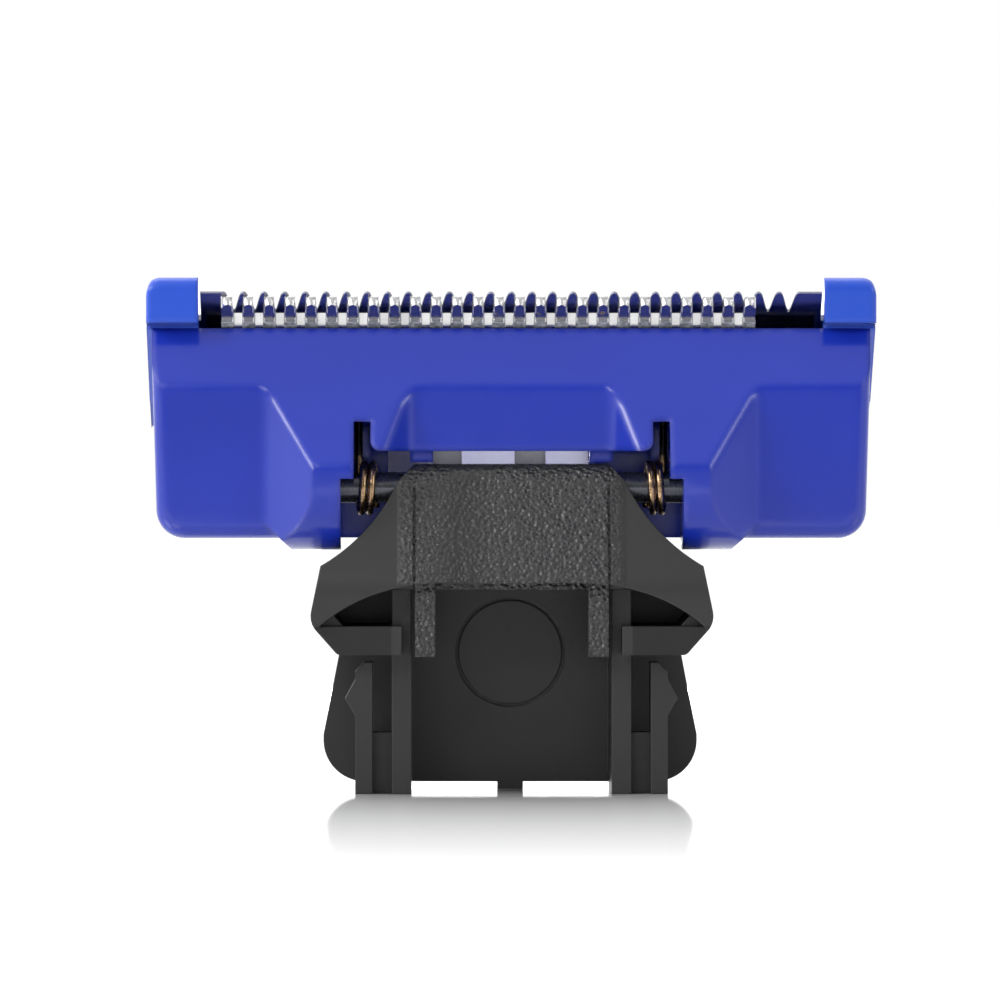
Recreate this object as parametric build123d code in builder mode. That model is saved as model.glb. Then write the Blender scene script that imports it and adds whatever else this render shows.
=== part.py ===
from build123d import *
import os
from math import cos, radians, sin

# Pivoting trimmer head on a snap-in neck, in millimetres, +Z up.
# The part stands on the feet of the neck's legs, at Z = 0. +X runs along the blades,
# and -Y is the handle side, where the hood of the neck is open.

# Head: overall sizes
head_width = 38.4
head_depth = 11.2
cap_top_z = 27.1

# Hinge
hinge_drop = 11.05
boss_radius = 3.25
knuckle_radius = 1.25
pin_radius = 0.8
pin_seat_depth = 2.6
pin_bore_depth = 2.2
pin_seat_gap = 0.02
pin_running_gap = 0.05
pin_end_gap = 0.15

# Head housing
housing_wall = 1.2
end_wall = 3.1
floor_thickness = 1.2
lobe_below_hinge = 2.65
lobe_share = 0.578
lobe_corner_radius = 1.5
lobe_draft = 0.4
band_drop = 5.7
far_wall_inset = 1.0
far_break_above_hinge = 1.95
edge_radius = 0.7
foot_radius = 1.0
bulge_roundness = 0.29
bulge_outer_foot_x = 12.9
bulge_outer_top_x = 10.4
bulge_inner_foot_x = 5.3
bulge_inner_top_x = 6.9
bulge_step_run = 1.4
boss_back = 1.8
slot_inner_x = 7.38
slot_width = 0.89
slot_above_hinge = 3.45
tongue_above_hinge = 1.92
tongue_corner_radius = 0.5
boss_relief = 0.68
relief_above_hinge = 0.45
floor_opening_half = 12.0
window_above_hinge = 0.5
window_height = 2.1
window_corner_radius = 0.3
rib_inner_x = 4.12
rib_width = 1.2
rib_depth = 1.3
rib_above_hinge = 1.35
rib_height = 2.0
stop_above_hinge = 1.4
stop_height = 1.8
stop_thickness = 0.7
shelf_drop = 3.6
shelf_gap = 0.08
shelf_width = 2.8

# Blades: the comb plate is tilted, with its handle-side edge high
blade_tilt = 40.0
tip_guard = 0.3
comb_drop = 0.5
comb_width = 9.6
comb_thickness = 0.4
comb_teeth = 27
comb_end_tooth = 1.42
comb_tip_chamfer = 0.13
comb_tooth_length = 1.46
comb_slot_mouth = 0.62
comb_slot_root = 0.4
comb_tab_half = 2.6
comb_tab_length = 0.8
cutter_teeth = 26
cutter_end_gap = 1.186
cutter_tip_inset = 0.25
cutter_tooth_length = 1.3
cutter_tooth_thickness = 0.5
cutter_thickness = 0.7
cutter_slot_mouth = 0.56
cutter_slot_root = 0.42
cutter_ramp = 0.9
cutter_bevel = 0.32
blade_gap = 0.02
cutter_stroke = 2.4

# Rim of the housing under the blades
rim_half = 2.95
rim_drop = 0.86
rim_wall = 0.8

# End caps
cap_width = 2.75
cap_overhang = 0.2
cap_lip = 0.25
cap_crown = 0.75
cap_level_run = 1.0
cap_edge_radius = 0.6
cap_fit = 0.05
cap_peg_radius = 0.6
cap_peg_length = 1.6

# Carriage under the cutter
carriage_inset = 1.03
carriage_half = 1.3
carriage_height = 1.7
fork_gap = 2.8
fork_prong_width = 1.63
fork_thickness = 1.5
fork_below_hinge = 0.75
yoke_half = 5.3
yoke_thickness = 0.6
yoke_above_hinge = 0.85
yoke_top_drop = 0.4
stud_radius = 0.6
stud_spacing = 16.0
stud_fit = 0.03

# Leaf springs under the carriage
leaf_thickness = 0.2
leaf_width = 1.8
leaf_base_length = 2.4
leaf_clearance = 0.37
leaf_tip_length = 0.7
leaf_tip_dip = 0.38
leaf_post_radius = 0.4

# Torsion springs round the pins
spring_wire = 0.4
spring_wire_sides = 4
spring_mean_radius = 1.25
spring_pitch = 0.45
spring_turns = 2
spring_neck_leg = 1.05
spring_slot_gap = 0.25
spring_leg_reach = 0.4
spring_leg_gap = 0.07

# Neck: the heights of the hood are drops below the hinge
neck_wall = 1.2
hood_top_half = 5.1
knuckle_half = 5.95
knuckle_corner_radius = 0.7
shoulder_above_hinge = 0.35
shoulder_half = 10.0
shoulder_drop = 4.1
flank_dip = 0.68
hood_half = 10.6
hood_widest_drop = 7.05
hood_foot_half = 9.1
hood_bottom_drop = 8.75
hood_near_inset = 0.2
hood_break_drop = 5.05
hood_break_radius = 4.0
hood_foot_radius = 0.4
hood_floor_top = 1.5
hood_floor_setback = 0.3
lip_middle_drop = 5.01
lip_end_drop = 7.75
lip_corner_drop = 5.1
neck_far_inset = 1.2
roof_far_drop = 3.65
ceiling_drop = 2.25
port_half = 4.7
port_length = 4.2
back_bottom_z = 0.4
back_half = 9.95
back_widest_z = 2.9
back_corner_radius = 2.2
foot_nub_half = 0.68
mark_radius = 2.9
mark_z = 7.3
mark_width = 0.14
mark_depth = 0.1
groove_width = 0.14
groove_depth = 0.1
leg_inner_x = 5.25
leg_thickness = 1.02
leg_near_inset = 2.1
leg_top_drop = 3.45
finger_gap = 1.03
finger_thickness = 0.9
finger_top_z = 6.9
finger_depth = 2.8
hook_reach = 0.54
hook_low_z = 4.1
hook_peak_z = 5.0
hook_high_z = 6.0
finger_bevel = 0.5
web_height = 3.2
web_setback = 0.9
tab_inner_x = 4.0
tab_width = 1.1
tab_bottom_drop = 8.85
tab_thickness = 1.1
tab_top_drop = 4.25

# Places worked out from the sizes above
head_half = head_width / 2
housing_half = head_half - cap_overhang
near_y = -head_depth / 2
far_y = head_depth / 2
hinge_y = near_y + boss_radius
hinge_z = cap_top_z - hinge_drop
lobe_bottom_z = hinge_z - lobe_below_hinge
band_bottom_z = cap_top_z - band_drop
far_break_z = hinge_z + far_break_above_hinge
slot_top_z = hinge_z + slot_above_hinge
tongue_bottom_z = hinge_z + tongue_above_hinge
boss_relief_top_z = hinge_z + relief_above_hinge
lobe_far_y = far_y - far_wall_inset
cap_inner_x = head_half - cap_width
slot_outer_x = slot_inner_x + slot_width
stop_outer_x = slot_outer_x + pin_end_gap + stop_thickness
shelf_outer_x = stop_outer_x + shelf_gap + shelf_width
comb_half_width = comb_width / 2
comb_tip_z = cap_top_z - comb_drop
comb_half_length = cap_inner_x - 2 * cap_fit
comb_pitch = 2 * (comb_half_length - comb_end_tooth - comb_slot_mouth / 2) / comb_teeth
cutter_room = 2 * (cap_inner_x - cutter_end_gap) - cutter_stroke
cutter_pitch = (cutter_room + cutter_slot_root) / cutter_teeth
tilt_cos = cos(radians(blade_tilt))
tilt_sin = sin(radians(blade_tilt))
blade_y = far_y - tip_guard - comb_half_width * tilt_cos - comb_thickness * tilt_sin
blade_z = comb_tip_z - comb_half_width * tilt_sin - comb_thickness * tilt_cos
cutter_rest_x = -cutter_stroke / 2
boss_inner_x = slot_outer_x + boss_relief
boss_back_y = hinge_y + boss_back

# The blade plane lies on the comb's underside. Its section plane has two axes:
# across, which is negative towards the handle side, and up, out of the plate.
blade_plane = Plane(origin=(0, blade_y, blade_z), x_dir=(1, 0, 0), z_dir=(0, tilt_sin, tilt_cos))
blade_section = Plane(origin=(0, blade_y, blade_z), x_dir=(0, tilt_cos, -tilt_sin), z_dir=(1, 0, 0))


def section_point(across, up):
    """Y and Z of a point given across and above the blade plane."""
    y = blade_y + across * tilt_cos + up * tilt_sin
    z = blade_z - across * tilt_sin + up * tilt_cos
    return (y, z)


near_rim = section_point(-rim_half, -rim_drop)
far_rim = section_point(rim_half, -rim_drop)
near_tip_y = section_point(-comb_half_width, 0)[0]
cap_near_y = near_tip_y - tip_guard
lobe_near_y = near_y + lobe_share * (near_rim[0] - near_y)
band_slope = (near_rim[0] - lobe_near_y) / (near_rim[1] - band_bottom_z)
inner_near_y = lobe_near_y + housing_wall
bulge_top_z = band_bottom_z - (lobe_near_y - near_y) / band_slope
bulge_start_z = band_bottom_z + edge_radius
bulge_radius = bulge_roundness * (lobe_near_y - near_y)
shelf_near_y = lobe_near_y + housing_wall / 2
shelf_middle = section_point(0, -shelf_drop)
shelf_near_z = shelf_middle[1] + (shelf_middle[0] - shelf_near_y) * tilt_sin / tilt_cos
shelf_rise = housing_wall / tilt_cos
stop_near_y = hinge_y + spring_mean_radius + spring_wire / 2 + spring_leg_gap

os.makedirs("parts", exist_ok=True)

# Head housing: a hollow moulding with a solid lobe at each end.
# First the bulges that carry the hinge bosses, one at each side of the tongue.
with BuildPart() as bulge:
    with BuildSketch(Plane.YZ):
        with BuildLine():
            Polyline(
                (inner_near_y, bulge_start_z),
                (lobe_near_y + edge_radius * band_slope, bulge_start_z),
                (near_y, bulge_top_z),
                (near_y, hinge_z),
            )
            RadiusArc((near_y, hinge_z), (hinge_y, hinge_z - boss_radius), -boss_radius)
            Polyline(
                (hinge_y, hinge_z - boss_radius),
                (boss_back_y, lobe_bottom_z),
                (boss_back_y, hinge_z + pin_radius),
                (inner_near_y, hinge_z + pin_radius + boss_back_y - inner_near_y),
                (inner_near_y, bulge_start_z),
            )
        make_face()
    extrude(amount=bulge_outer_foot_x + foot_radius)
    with BuildSketch(Plane.XY.offset(hinge_z - boss_radius)) as bulge_plan:
        with BuildLine():
            Polyline(
                (bulge_inner_foot_x - foot_radius, lobe_near_y),
                (bulge_inner_foot_x, lobe_near_y),
                (bulge_inner_top_x, near_y),
                (bulge_outer_top_x, near_y),
                (bulge_outer_foot_x, lobe_near_y),
                (bulge_outer_foot_x + foot_radius, lobe_near_y),
                (bulge_outer_foot_x + foot_radius, boss_back_y),
                (bulge_inner_foot_x - foot_radius, boss_back_y),
                close=True,
            )
        make_face()
        fillet(bulge_plan.vertices().group_by(Axis.Y)[1].sort_by(Axis.X)[1:-1], foot_radius)
    extrude(amount=head_width, mode=Mode.INTERSECT)
    with BuildSketch(Plane.XZ):
        with BuildLine():
            Polyline(
                (bulge_inner_foot_x - foot_radius, cap_top_z),
                (bulge_inner_foot_x - foot_radius, hinge_z - boss_radius),
                (bulge_outer_foot_x - bulge_step_run, hinge_z - boss_radius),
                (bulge_outer_foot_x, lobe_bottom_z + edge_radius),
                (bulge_outer_foot_x + foot_radius, lobe_bottom_z + 2 * edge_radius),
                (bulge_outer_foot_x + foot_radius, cap_top_z),
                close=True,
            )
        make_face()
    extrude(amount=head_depth, both=True, mode=Mode.INTERSECT)
    raised = bulge.edges().filter_by_position(Axis.Y, near_y - bulge_radius, lobe_near_y - bulge_radius / 2)
    fillet(raised.filter_by_position(Axis.Z, hinge_z + bulge_radius, cap_top_z), bulge_radius)

with BuildPart() as head_housing:
    # Outer form: the side profile, drafted and rounded at both ends.
    with BuildSketch(Plane.YZ):
        with BuildLine():
            Polyline(
                near_rim,
                (lobe_near_y, band_bottom_z),
                (lobe_near_y, lobe_bottom_z),
                (lobe_far_y, lobe_bottom_z),
                (lobe_far_y, far_break_z),
                far_rim,
                close=True,
            )
        make_face()
    extrude(amount=housing_half, both=True)
    with BuildSketch(Plane.XZ) as front_outline:
        with BuildLine():
            Polyline(
                (-housing_half, cap_top_z),
                (housing_half, cap_top_z),
                (housing_half - lobe_draft, lobe_bottom_z),
                (-housing_half + lobe_draft, lobe_bottom_z),
                close=True,
            )
        make_face()
        fillet(front_outline.vertices().group_by(Axis.Y)[0], lobe_corner_radius)
    extrude(amount=head_depth, both=True, mode=Mode.INTERSECT)
    lobe_fronts = head_housing.faces().filter_by(Axis.Y)
    fillet(lobe_fronts.sort_by(Axis.Y)[0].edges(), edge_radius)
    # Cavity for the carriage, open at the rim.
    with BuildSketch(Plane.YZ):
        with BuildLine():
            Polyline(
                section_point(-rim_half + rim_wall, 0),
                section_point(-rim_half + rim_wall, -rim_drop),
                (inner_near_y, band_bottom_z - housing_wall),
                (inner_near_y, lobe_bottom_z + floor_thickness),
                (lobe_far_y - housing_wall, lobe_bottom_z + floor_thickness),
                (lobe_far_y - housing_wall, far_break_z - housing_wall / 2),
                section_point(rim_half - rim_wall, -rim_drop),
                section_point(rim_half - rim_wall, 0),
                close=True,
            )
        make_face()
    extrude(amount=head_half - end_wall, both=True, mode=Mode.SUBTRACT)
    # Hinge bosses, and the shelves inside that carry the leaf springs.
    add(bulge.part)
    add(bulge.part.mirror(Plane.YZ))
    for side in (-1, 1):
        with BuildSketch(Plane.YZ.offset(side * (shelf_outer_x - shelf_width / 2))):
            with BuildLine():
                Polyline(
                    (shelf_near_y, shelf_near_z),
                    section_point(carriage_half, -shelf_drop),
                    section_point(carriage_half, -shelf_drop - housing_wall),
                    (shelf_near_y, shelf_near_z - shelf_rise),
                    close=True,
                )
            make_face()
        extrude(amount=shelf_width / 2, both=True)
    # Opening for the neck below the tongue, with the spring slots beside the tongue.
    with BuildSketch(Plane.XZ.offset(-boss_back_y)) as neck_opening:
        with BuildLine():
            Polyline(
                (-boss_inner_x, hinge_z - head_depth),
                (-boss_inner_x, boss_relief_top_z),
                (-slot_outer_x, boss_relief_top_z),
                (-slot_outer_x, slot_top_z),
                (-slot_inner_x, slot_top_z),
                (-slot_inner_x, tongue_bottom_z),
                (slot_inner_x, tongue_bottom_z),
                (slot_inner_x, slot_top_z),
                (slot_outer_x, slot_top_z),
                (slot_outer_x, boss_relief_top_z),
                (boss_inner_x, boss_relief_top_z),
                (boss_inner_x, hinge_z - head_depth),
                close=True,
            )
        make_face()
        tongue_corners = neck_opening.vertices().filter_by_position(
            Axis.Y, tongue_bottom_z, tongue_bottom_z
        )
        fillet(tongue_corners, tongue_corner_radius)
    extrude(amount=head_depth, mode=Mode.SUBTRACT)
    with BuildSketch(Plane.XZ.offset(-boss_back_y)):
        with Locations((0, far_break_z)):
            Rectangle(2 * floor_opening_half, head_width, align=(Align.CENTER, Align.MAX))
    extrude(amount=boss_back_y + housing_wall - lobe_far_y, mode=Mode.SUBTRACT)
    # Window in the far wall, as wide as the space between the ribs
    with BuildSketch(Plane.XZ.offset(-lobe_far_y)):
        with Locations((0, hinge_z + window_above_hinge + window_height / 2)):
            RectangleRounded(2 * rib_inner_x, window_height, window_corner_radius)
    extrude(amount=2 * housing_wall, mode=Mode.SUBTRACT)
    # Ribs behind the tongue, and the stops that the upright legs of the springs push on.
    for side in (-1, 1):
        with BuildSketch(Plane.XY.offset(hinge_z + rib_above_hinge)):
            with Locations((side * (rib_inner_x + rib_width / 2), shelf_near_y)):
                Rectangle(
                    rib_width,
                    housing_wall / 2 + rib_depth,
                    align=(Align.CENTER, Align.MIN),
                )
        extrude(amount=rib_height)
        with BuildSketch(Plane.XY.offset(hinge_z + stop_above_hinge)):
            with Locations((side * (slot_outer_x + stop_thickness / 2 + pin_end_gap), shelf_near_y)):
                Rectangle(
                    stop_thickness,
                    stop_near_y + stop_thickness - shelf_near_y,
                    align=(Align.CENTER, Align.MIN),
                )
            with Locations((side * (slot_inner_x + slot_outer_x + stop_thickness) / 2, stop_near_y)):
                Rectangle(
                    slot_width + stop_thickness,
                    stop_thickness,
                    align=(Align.CENTER, Align.MIN),
                )
        extrude(amount=stop_height)
    # Bores for the hinge pins, holes for the cap pegs and posts for the leaf springs.
    for side in (-1, 1):
        with Locations(Plane((side * boss_inner_x, hinge_y, hinge_z), z_dir=(side, 0, 0))):
            Cylinder(
                pin_radius + pin_running_gap,
                2 * pin_bore_depth,
                mode=Mode.SUBTRACT,
            )
        with BuildSketch(blade_plane.offset(-rim_drop)):
            with Locations((side * (cap_inner_x + cap_width / 2), 0)):
                Circle(cap_peg_radius + cap_fit)
        extrude(amount=-cap_peg_length - cap_fit, mode=Mode.SUBTRACT)
        with BuildSketch(blade_plane.offset(-shelf_drop)):
            with Locations((side * (shelf_outer_x - leaf_base_length / 2), 0)):
                Circle(leaf_post_radius)
        extrude(amount=2 * leaf_thickness)

head_housing.part.label = "head_housing"
export_step(head_housing.part, "parts/head_housing.step")

# End caps: crowned blocks that hold the tabs of the comb, pegged into the housing.
with BuildPart() as right_end_cap:
    with BuildSketch(Plane.YZ.offset(cap_inner_x)) as cap_profile:
        with BuildLine():
            cap_far_top_z = section_point(comb_half_width, comb_thickness)[1]
            Polyline(
                (cap_near_y, cap_top_z),
                (cap_near_y, near_rim[1] + cap_lip),
                (near_rim[0] + cap_lip, near_rim[1] + cap_lip),
                near_rim,
                far_rim,
                section_point(rim_half + cap_lip, -rim_drop + cap_lip),
                (far_y, cap_far_top_z - rim_drop),
                (far_y, cap_far_top_z),
            )
            ThreePointArc(
                (far_y, cap_far_top_z),
                section_point(0, comb_thickness + cap_crown),
                (cap_near_y + cap_level_run, cap_top_z),
            )
            Line((cap_near_y + cap_level_run, cap_top_z), (cap_near_y, cap_top_z))
        make_face()
        fillet(cap_profile.vertices().group_by(Axis.Y)[-1].sort_by(Axis.X)[0], cap_edge_radius)
    extrude(amount=cap_width)
    outer_face = right_end_cap.faces().sort_by(Axis.X)[-1]
    fillet(outer_face.edges().group_by(Axis.Z)[-1], cap_edge_radius / 2)
    # Slot for the tab of the comb
    with BuildSketch(blade_plane.offset(-cap_fit)):
        with Locations((cap_inner_x, 0)):
            Rectangle(
                2 * (comb_tab_length + cap_fit),
                2 * (comb_tab_half + cap_fit),
            )
    extrude(amount=comb_thickness + 2 * cap_fit, mode=Mode.SUBTRACT)
    with BuildSketch(blade_plane.offset(-rim_drop)):
        with Locations((cap_inner_x + cap_width / 2, 0)):
            Circle(cap_peg_radius)
    extrude(amount=-cap_peg_length)

right_end_cap.part.label = "right_end_cap"
export_step(right_end_cap.part, "parts/right_end_cap.step")

with BuildPart() as left_end_cap:
    add(right_end_cap.part.mirror(Plane.YZ))

left_end_cap.part.label = "left_end_cap"
export_step(left_end_cap.part, "parts/left_end_cap.step")

# Comb: a double-edged steel plate with a broad tooth and a tab at each end.
with BuildSketch() as comb_slot:
    with BuildLine():
        Polyline(
            (comb_slot_mouth / 2 + comb_tip_chamfer, 0),
            (comb_slot_mouth / 2, comb_tip_chamfer),
            (comb_slot_root / 2, comb_tooth_length),
            (-comb_slot_root / 2, comb_tooth_length),
            (-comb_slot_mouth / 2, comb_tip_chamfer),
            (-comb_slot_mouth / 2 - comb_tip_chamfer, 0),
            close=True,
        )
    make_face()

with BuildPart() as comb:
    with BuildSketch(blade_plane):
        Rectangle(
            2 * comb_half_length,
            comb_half_width,
            align=(Align.CENTER, Align.MAX),
        )
        with Locations((0, -comb_half_width)):
            with GridLocations(comb_pitch, 0, comb_teeth + 1, 1):
                add(comb_slot.sketch, mode=Mode.SUBTRACT)
        Rectangle(
            2 * (cap_inner_x + comb_tab_length),
            comb_tab_half,
            align=(Align.CENTER, Align.MAX),
        )
        mirror(about=Plane.XZ)
    extrude(amount=comb_thickness)

comb.part.label = "comb"
export_step(comb.part, "parts/comb.step")

# Cutter: a ground steel block with bevelled teeth at both edges, at the end of its stroke.
cutter_half_width = comb_half_width - cutter_tip_inset
cutter_length = cutter_pitch * cutter_teeth - cutter_slot_root
cutter_root = cutter_half_width - cutter_tooth_length
cutter_top = -blade_gap
cutter_tooth_bottom = cutter_top - cutter_tooth_thickness
cutter_bottom = cutter_top - cutter_thickness
cutter_plane = blade_plane.offset(cutter_bottom)

with BuildSketch() as cutter_slot:
    with BuildLine():
        Polyline(
            (-cutter_slot_mouth / 2, 0),
            (cutter_slot_mouth / 2, 0),
            (cutter_slot_root / 2, cutter_tooth_length),
            (-cutter_slot_root / 2, cutter_tooth_length),
            close=True,
        )
    make_face()

with BuildPart() as cutter_ramps:
    with BuildSketch(blade_section):
        with BuildLine():
            Polyline(
                (-cutter_root - cutter_slot_root, cutter_bottom - blade_gap),
                (-cutter_root, cutter_top),
                (-cutter_root + cutter_ramp, cutter_bottom - blade_gap),
                close=True,
            )
        make_face()
    extrude(amount=cutter_slot_root / 2, both=True)

with BuildPart() as cutter:
    with BuildSketch(blade_section):
        with BuildLine():
            Polyline(
                (0, cutter_top),
                (-cutter_half_width, cutter_top),
                (-cutter_half_width, cutter_tooth_bottom + cutter_bevel),
                (-cutter_half_width + cutter_bevel, cutter_tooth_bottom),
                (-cutter_root, cutter_tooth_bottom),
                (-cutter_root, cutter_bottom),
                (0, cutter_bottom),
                close=True,
            )
        make_face()
    extrude(amount=cutter_length / 2, both=True)
    with BuildSketch(cutter_plane):
        with Locations((0, -cutter_half_width)):
            with GridLocations(cutter_pitch, 0, cutter_teeth - 1, 1):
                add(cutter_slot.sketch)
    extrude(amount=cutter_thickness, mode=Mode.SUBTRACT)
    with GridLocations(cutter_pitch, 0, cutter_teeth - 1, 1):
        add(cutter_ramps.part, mode=Mode.SUBTRACT)
    mirror(about=Plane(blade_plane.origin, x_dir=(1, 0, 0), z_dir=blade_plane.y_dir))
    with BuildSketch(cutter_plane):
        with GridLocations(stud_spacing, 0, 2, 1):
            Circle(stud_radius + stud_fit)
    extrude(amount=cutter_thickness, mode=Mode.SUBTRACT)

cutter.part = cutter.part.moved(Location((cutter_rest_x, 0, 0)))
cutter.part.label = "cutter"
export_step(cutter.part, "parts/cutter.step")

# Carriage: the plastic carrier staked under the cutter, with the fork that the drive works in.
with BuildPart() as cutter_carriage:
    with BuildSketch(cutter_plane):
        Rectangle(cutter_length - 2 * carriage_inset, 2 * carriage_half)
    extrude(amount=-carriage_height)
    fork_root_y, fork_root_z = section_point(0, cutter_bottom - carriage_height / 2)
    with BuildSketch(Plane.XY.offset(hinge_z - fork_below_hinge)):
        with Locations((0, fork_root_y)):
            with GridLocations(fork_gap + fork_prong_width, 0, 2, 1):
                Rectangle(fork_prong_width, fork_thickness)
    extrude(amount=fork_root_z - hinge_z + fork_below_hinge)
    # Plate behind the prongs
    with BuildSketch(Plane.XY.offset(hinge_z + yoke_above_hinge)):
        with Locations((0, fork_root_y + fork_thickness / 2)):
            Rectangle(2 * yoke_half, yoke_thickness, align=(Align.CENTER, Align.MIN))
    extrude(amount=fork_root_z - yoke_top_drop - hinge_z - yoke_above_hinge)
    with BuildSketch(cutter_plane):
        with GridLocations(stud_spacing, 0, 2, 1):
            Circle(stud_radius)
    extrude(amount=cutter_thickness - blade_gap)

cutter_carriage.part = cutter_carriage.part.moved(Location((cutter_rest_x, 0, 0)))
cutter_carriage.part.label = "cutter_carriage"
export_step(cutter_carriage.part, "parts/cutter_carriage.step")

# Leaf springs: strips staked on the shelves, with arms that bear on the carriage.
leaf_base_up = -shelf_drop + leaf_thickness / 2
leaf_tip_up = cutter_bottom - carriage_height - blade_gap - leaf_thickness / 2
leaf_heel_x = shelf_outer_x - leaf_base_length
leaf_end_x = fork_gap / 2 + fork_prong_width + cutter_stroke / 2 + leaf_clearance
leaf_arm_x = leaf_end_x + 2 * leaf_tip_length
leaf_front = Plane(blade_plane.origin, x_dir=(1, 0, 0), z_dir=-blade_plane.y_dir)

with BuildPart() as right_leaf_spring:
    with BuildSketch(leaf_front):
        with BuildLine() as leaf_line:
            Polyline(
                (shelf_outer_x, leaf_base_up),
                (leaf_heel_x, leaf_base_up),
                (leaf_arm_x, leaf_tip_up),
                (leaf_arm_x - leaf_tip_length, leaf_tip_up),
                (leaf_end_x, leaf_tip_up - leaf_tip_dip),
            )
        trace(leaf_line.line, leaf_thickness)
    extrude(amount=leaf_width / 2, both=True)
    with BuildSketch(blade_plane.offset(-shelf_drop)):
        with Locations((shelf_outer_x - leaf_base_length / 2, 0)):
            Circle(leaf_post_radius + stud_fit)
    extrude(amount=2 * leaf_thickness, mode=Mode.SUBTRACT)

right_leaf_spring.part.label = "right_leaf_spring"
export_step(right_leaf_spring.part, "parts/right_leaf_spring.step")

with BuildPart() as left_leaf_spring:
    add(right_leaf_spring.part.mirror(Plane.YZ))

left_leaf_spring.part.label = "left_leaf_spring"
export_step(left_leaf_spring.part, "parts/left_leaf_spring.step")

# Hinge pins: pressed into the knuckle of the neck, running in the bosses of the head.
pin_length = pin_seat_depth + boss_inner_x - knuckle_half + pin_bore_depth - pin_end_gap

with BuildPart() as right_pivot_pin:
    with BuildSketch(Plane.YZ.offset(knuckle_half - pin_seat_depth)):
        with Locations((hinge_y, hinge_z)):
            Circle(pin_radius)
    extrude(amount=pin_length)

right_pivot_pin.part.label = "right_pivot_pin"
export_step(right_pivot_pin.part, "parts/right_pivot_pin.step")

with BuildPart() as left_pivot_pin:
    add(right_pivot_pin.part.mirror(Plane.YZ))

left_pivot_pin.part.label = "left_pivot_pin"
export_step(left_pivot_pin.part, "parts/left_pivot_pin.step")

# Torsion springs: wire coiled round the pin. One leg stands up before the stop in the head,
# and the other points down at the flank of the neck.
leg_length = slot_top_z + spring_leg_reach - hinge_z
coil_length = spring_pitch * spring_turns
coil_start_x = slot_outer_x - spring_slot_gap - coil_length
spring_axis = Plane(origin=(coil_start_x, hinge_y, hinge_z), x_dir=(0, 1, 0), z_dir=(1, 0, 0))
coil = spring_axis * Helix(spring_pitch, coil_length, spring_mean_radius)

with BuildPart() as right_torsion_spring:
    with BuildLine() as wire_line:
        Line(coil @ 0 - (coil % 0) * spring_neck_leg, coil @ 0)
        add(coil)
        Line(coil @ 1, coil @ 1 + (coil % 1) * leg_length)
    wire_start = wire_line.wires()[0]
    with BuildSketch(Plane(wire_start @ 0, z_dir=wire_start % 0)):
        RegularPolygon(spring_wire / 2, spring_wire_sides)
    sweep(path=wire_start)

right_torsion_spring.part.label = "right_torsion_spring"
export_step(right_torsion_spring.part, "parts/right_torsion_spring.step")

with BuildPart() as left_torsion_spring:
    add(right_torsion_spring.part.mirror(Plane.YZ))

left_torsion_spring.part.label = "left_torsion_spring"
export_step(left_torsion_spring.part, "parts/left_torsion_spring.step")

# Neck: one moulding. The hood is the front outline met by the side profile.
hood_near_y = near_y + hood_near_inset
neck_far_y = far_y - neck_far_inset
leg_near_y = hood_near_y + leg_near_inset
leg_far_y = neck_far_y - neck_wall
knuckle_top_z = hinge_z + knuckle_radius
knuckle_shoulder_z = hinge_z + shoulder_above_hinge
ceiling_z = hinge_z - ceiling_drop
shoulder_z = hinge_z - shoulder_drop
hood_widest_z = hinge_z - hood_widest_drop
hood_bottom_z = hinge_z - hood_bottom_drop
hood_break_z = hinge_z - hood_break_drop
lip_middle_z = hinge_z - lip_middle_drop
lip_end_z = hinge_z - lip_end_drop
lip_corner_z = hinge_z - lip_corner_drop
roof_far_z = hinge_z - roof_far_drop
leg_top_z = hinge_z - leg_top_drop
tab_bottom_z = hinge_z - tab_bottom_drop
tab_top_z = hinge_z - tab_top_drop

with BuildSketch(Plane.XZ) as hood_front:
    with BuildLine():
        flank_x = (knuckle_half + shoulder_half) / 2
        flank_z = (knuckle_shoulder_z + shoulder_z) / 2 - flank_dip
        Polyline((0, knuckle_top_z), (hood_top_half, knuckle_top_z), (knuckle_half, knuckle_shoulder_z))
        ThreePointArc(
            (knuckle_half, knuckle_shoulder_z),
            (flank_x, flank_z),
            (shoulder_half, shoulder_z),
        )
        Line((shoulder_half, shoulder_z), (hood_half, hood_widest_z))
        Line((hood_half, hood_widest_z), (hood_foot_half, hood_bottom_z))
        Line((hood_foot_half, hood_bottom_z), (0, hood_bottom_z))
        mirror(about=Plane.YZ)
    make_face()
    hood_corners = hood_front.vertices()
    fillet(hood_corners.filter_by_position(Axis.Y, hood_widest_z, hood_widest_z), neck_wall)
    hood_corners = hood_front.vertices().group_by(Axis.Y)
    fillet(hood_corners[0], hood_foot_radius)
    fillet(hood_corners[-1].sort_by(Axis.X)[0], knuckle_corner_radius)
    fillet(hood_corners[-1].sort_by(Axis.X)[-1], knuckle_corner_radius)

with BuildSketch(Plane.YZ) as hood_side:
    with BuildLine():
        Polyline(
            (hinge_y - knuckle_radius, hinge_z),
            (hood_near_y, hood_break_z),
            (hood_near_y, hood_bottom_z),
            (neck_far_y, hood_bottom_z),
            (neck_far_y, roof_far_z),
            (hinge_y + knuckle_radius, hinge_z),
        )
        RadiusArc(
            (hinge_y - knuckle_radius, hinge_z),
            (hinge_y + knuckle_radius, hinge_z),
            knuckle_radius,
        )
    make_face()
    hood_break = hood_side.vertices().filter_by_position(Axis.Y, hood_break_z, hood_break_z)
    fillet(hood_break, hood_break_radius)

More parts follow.
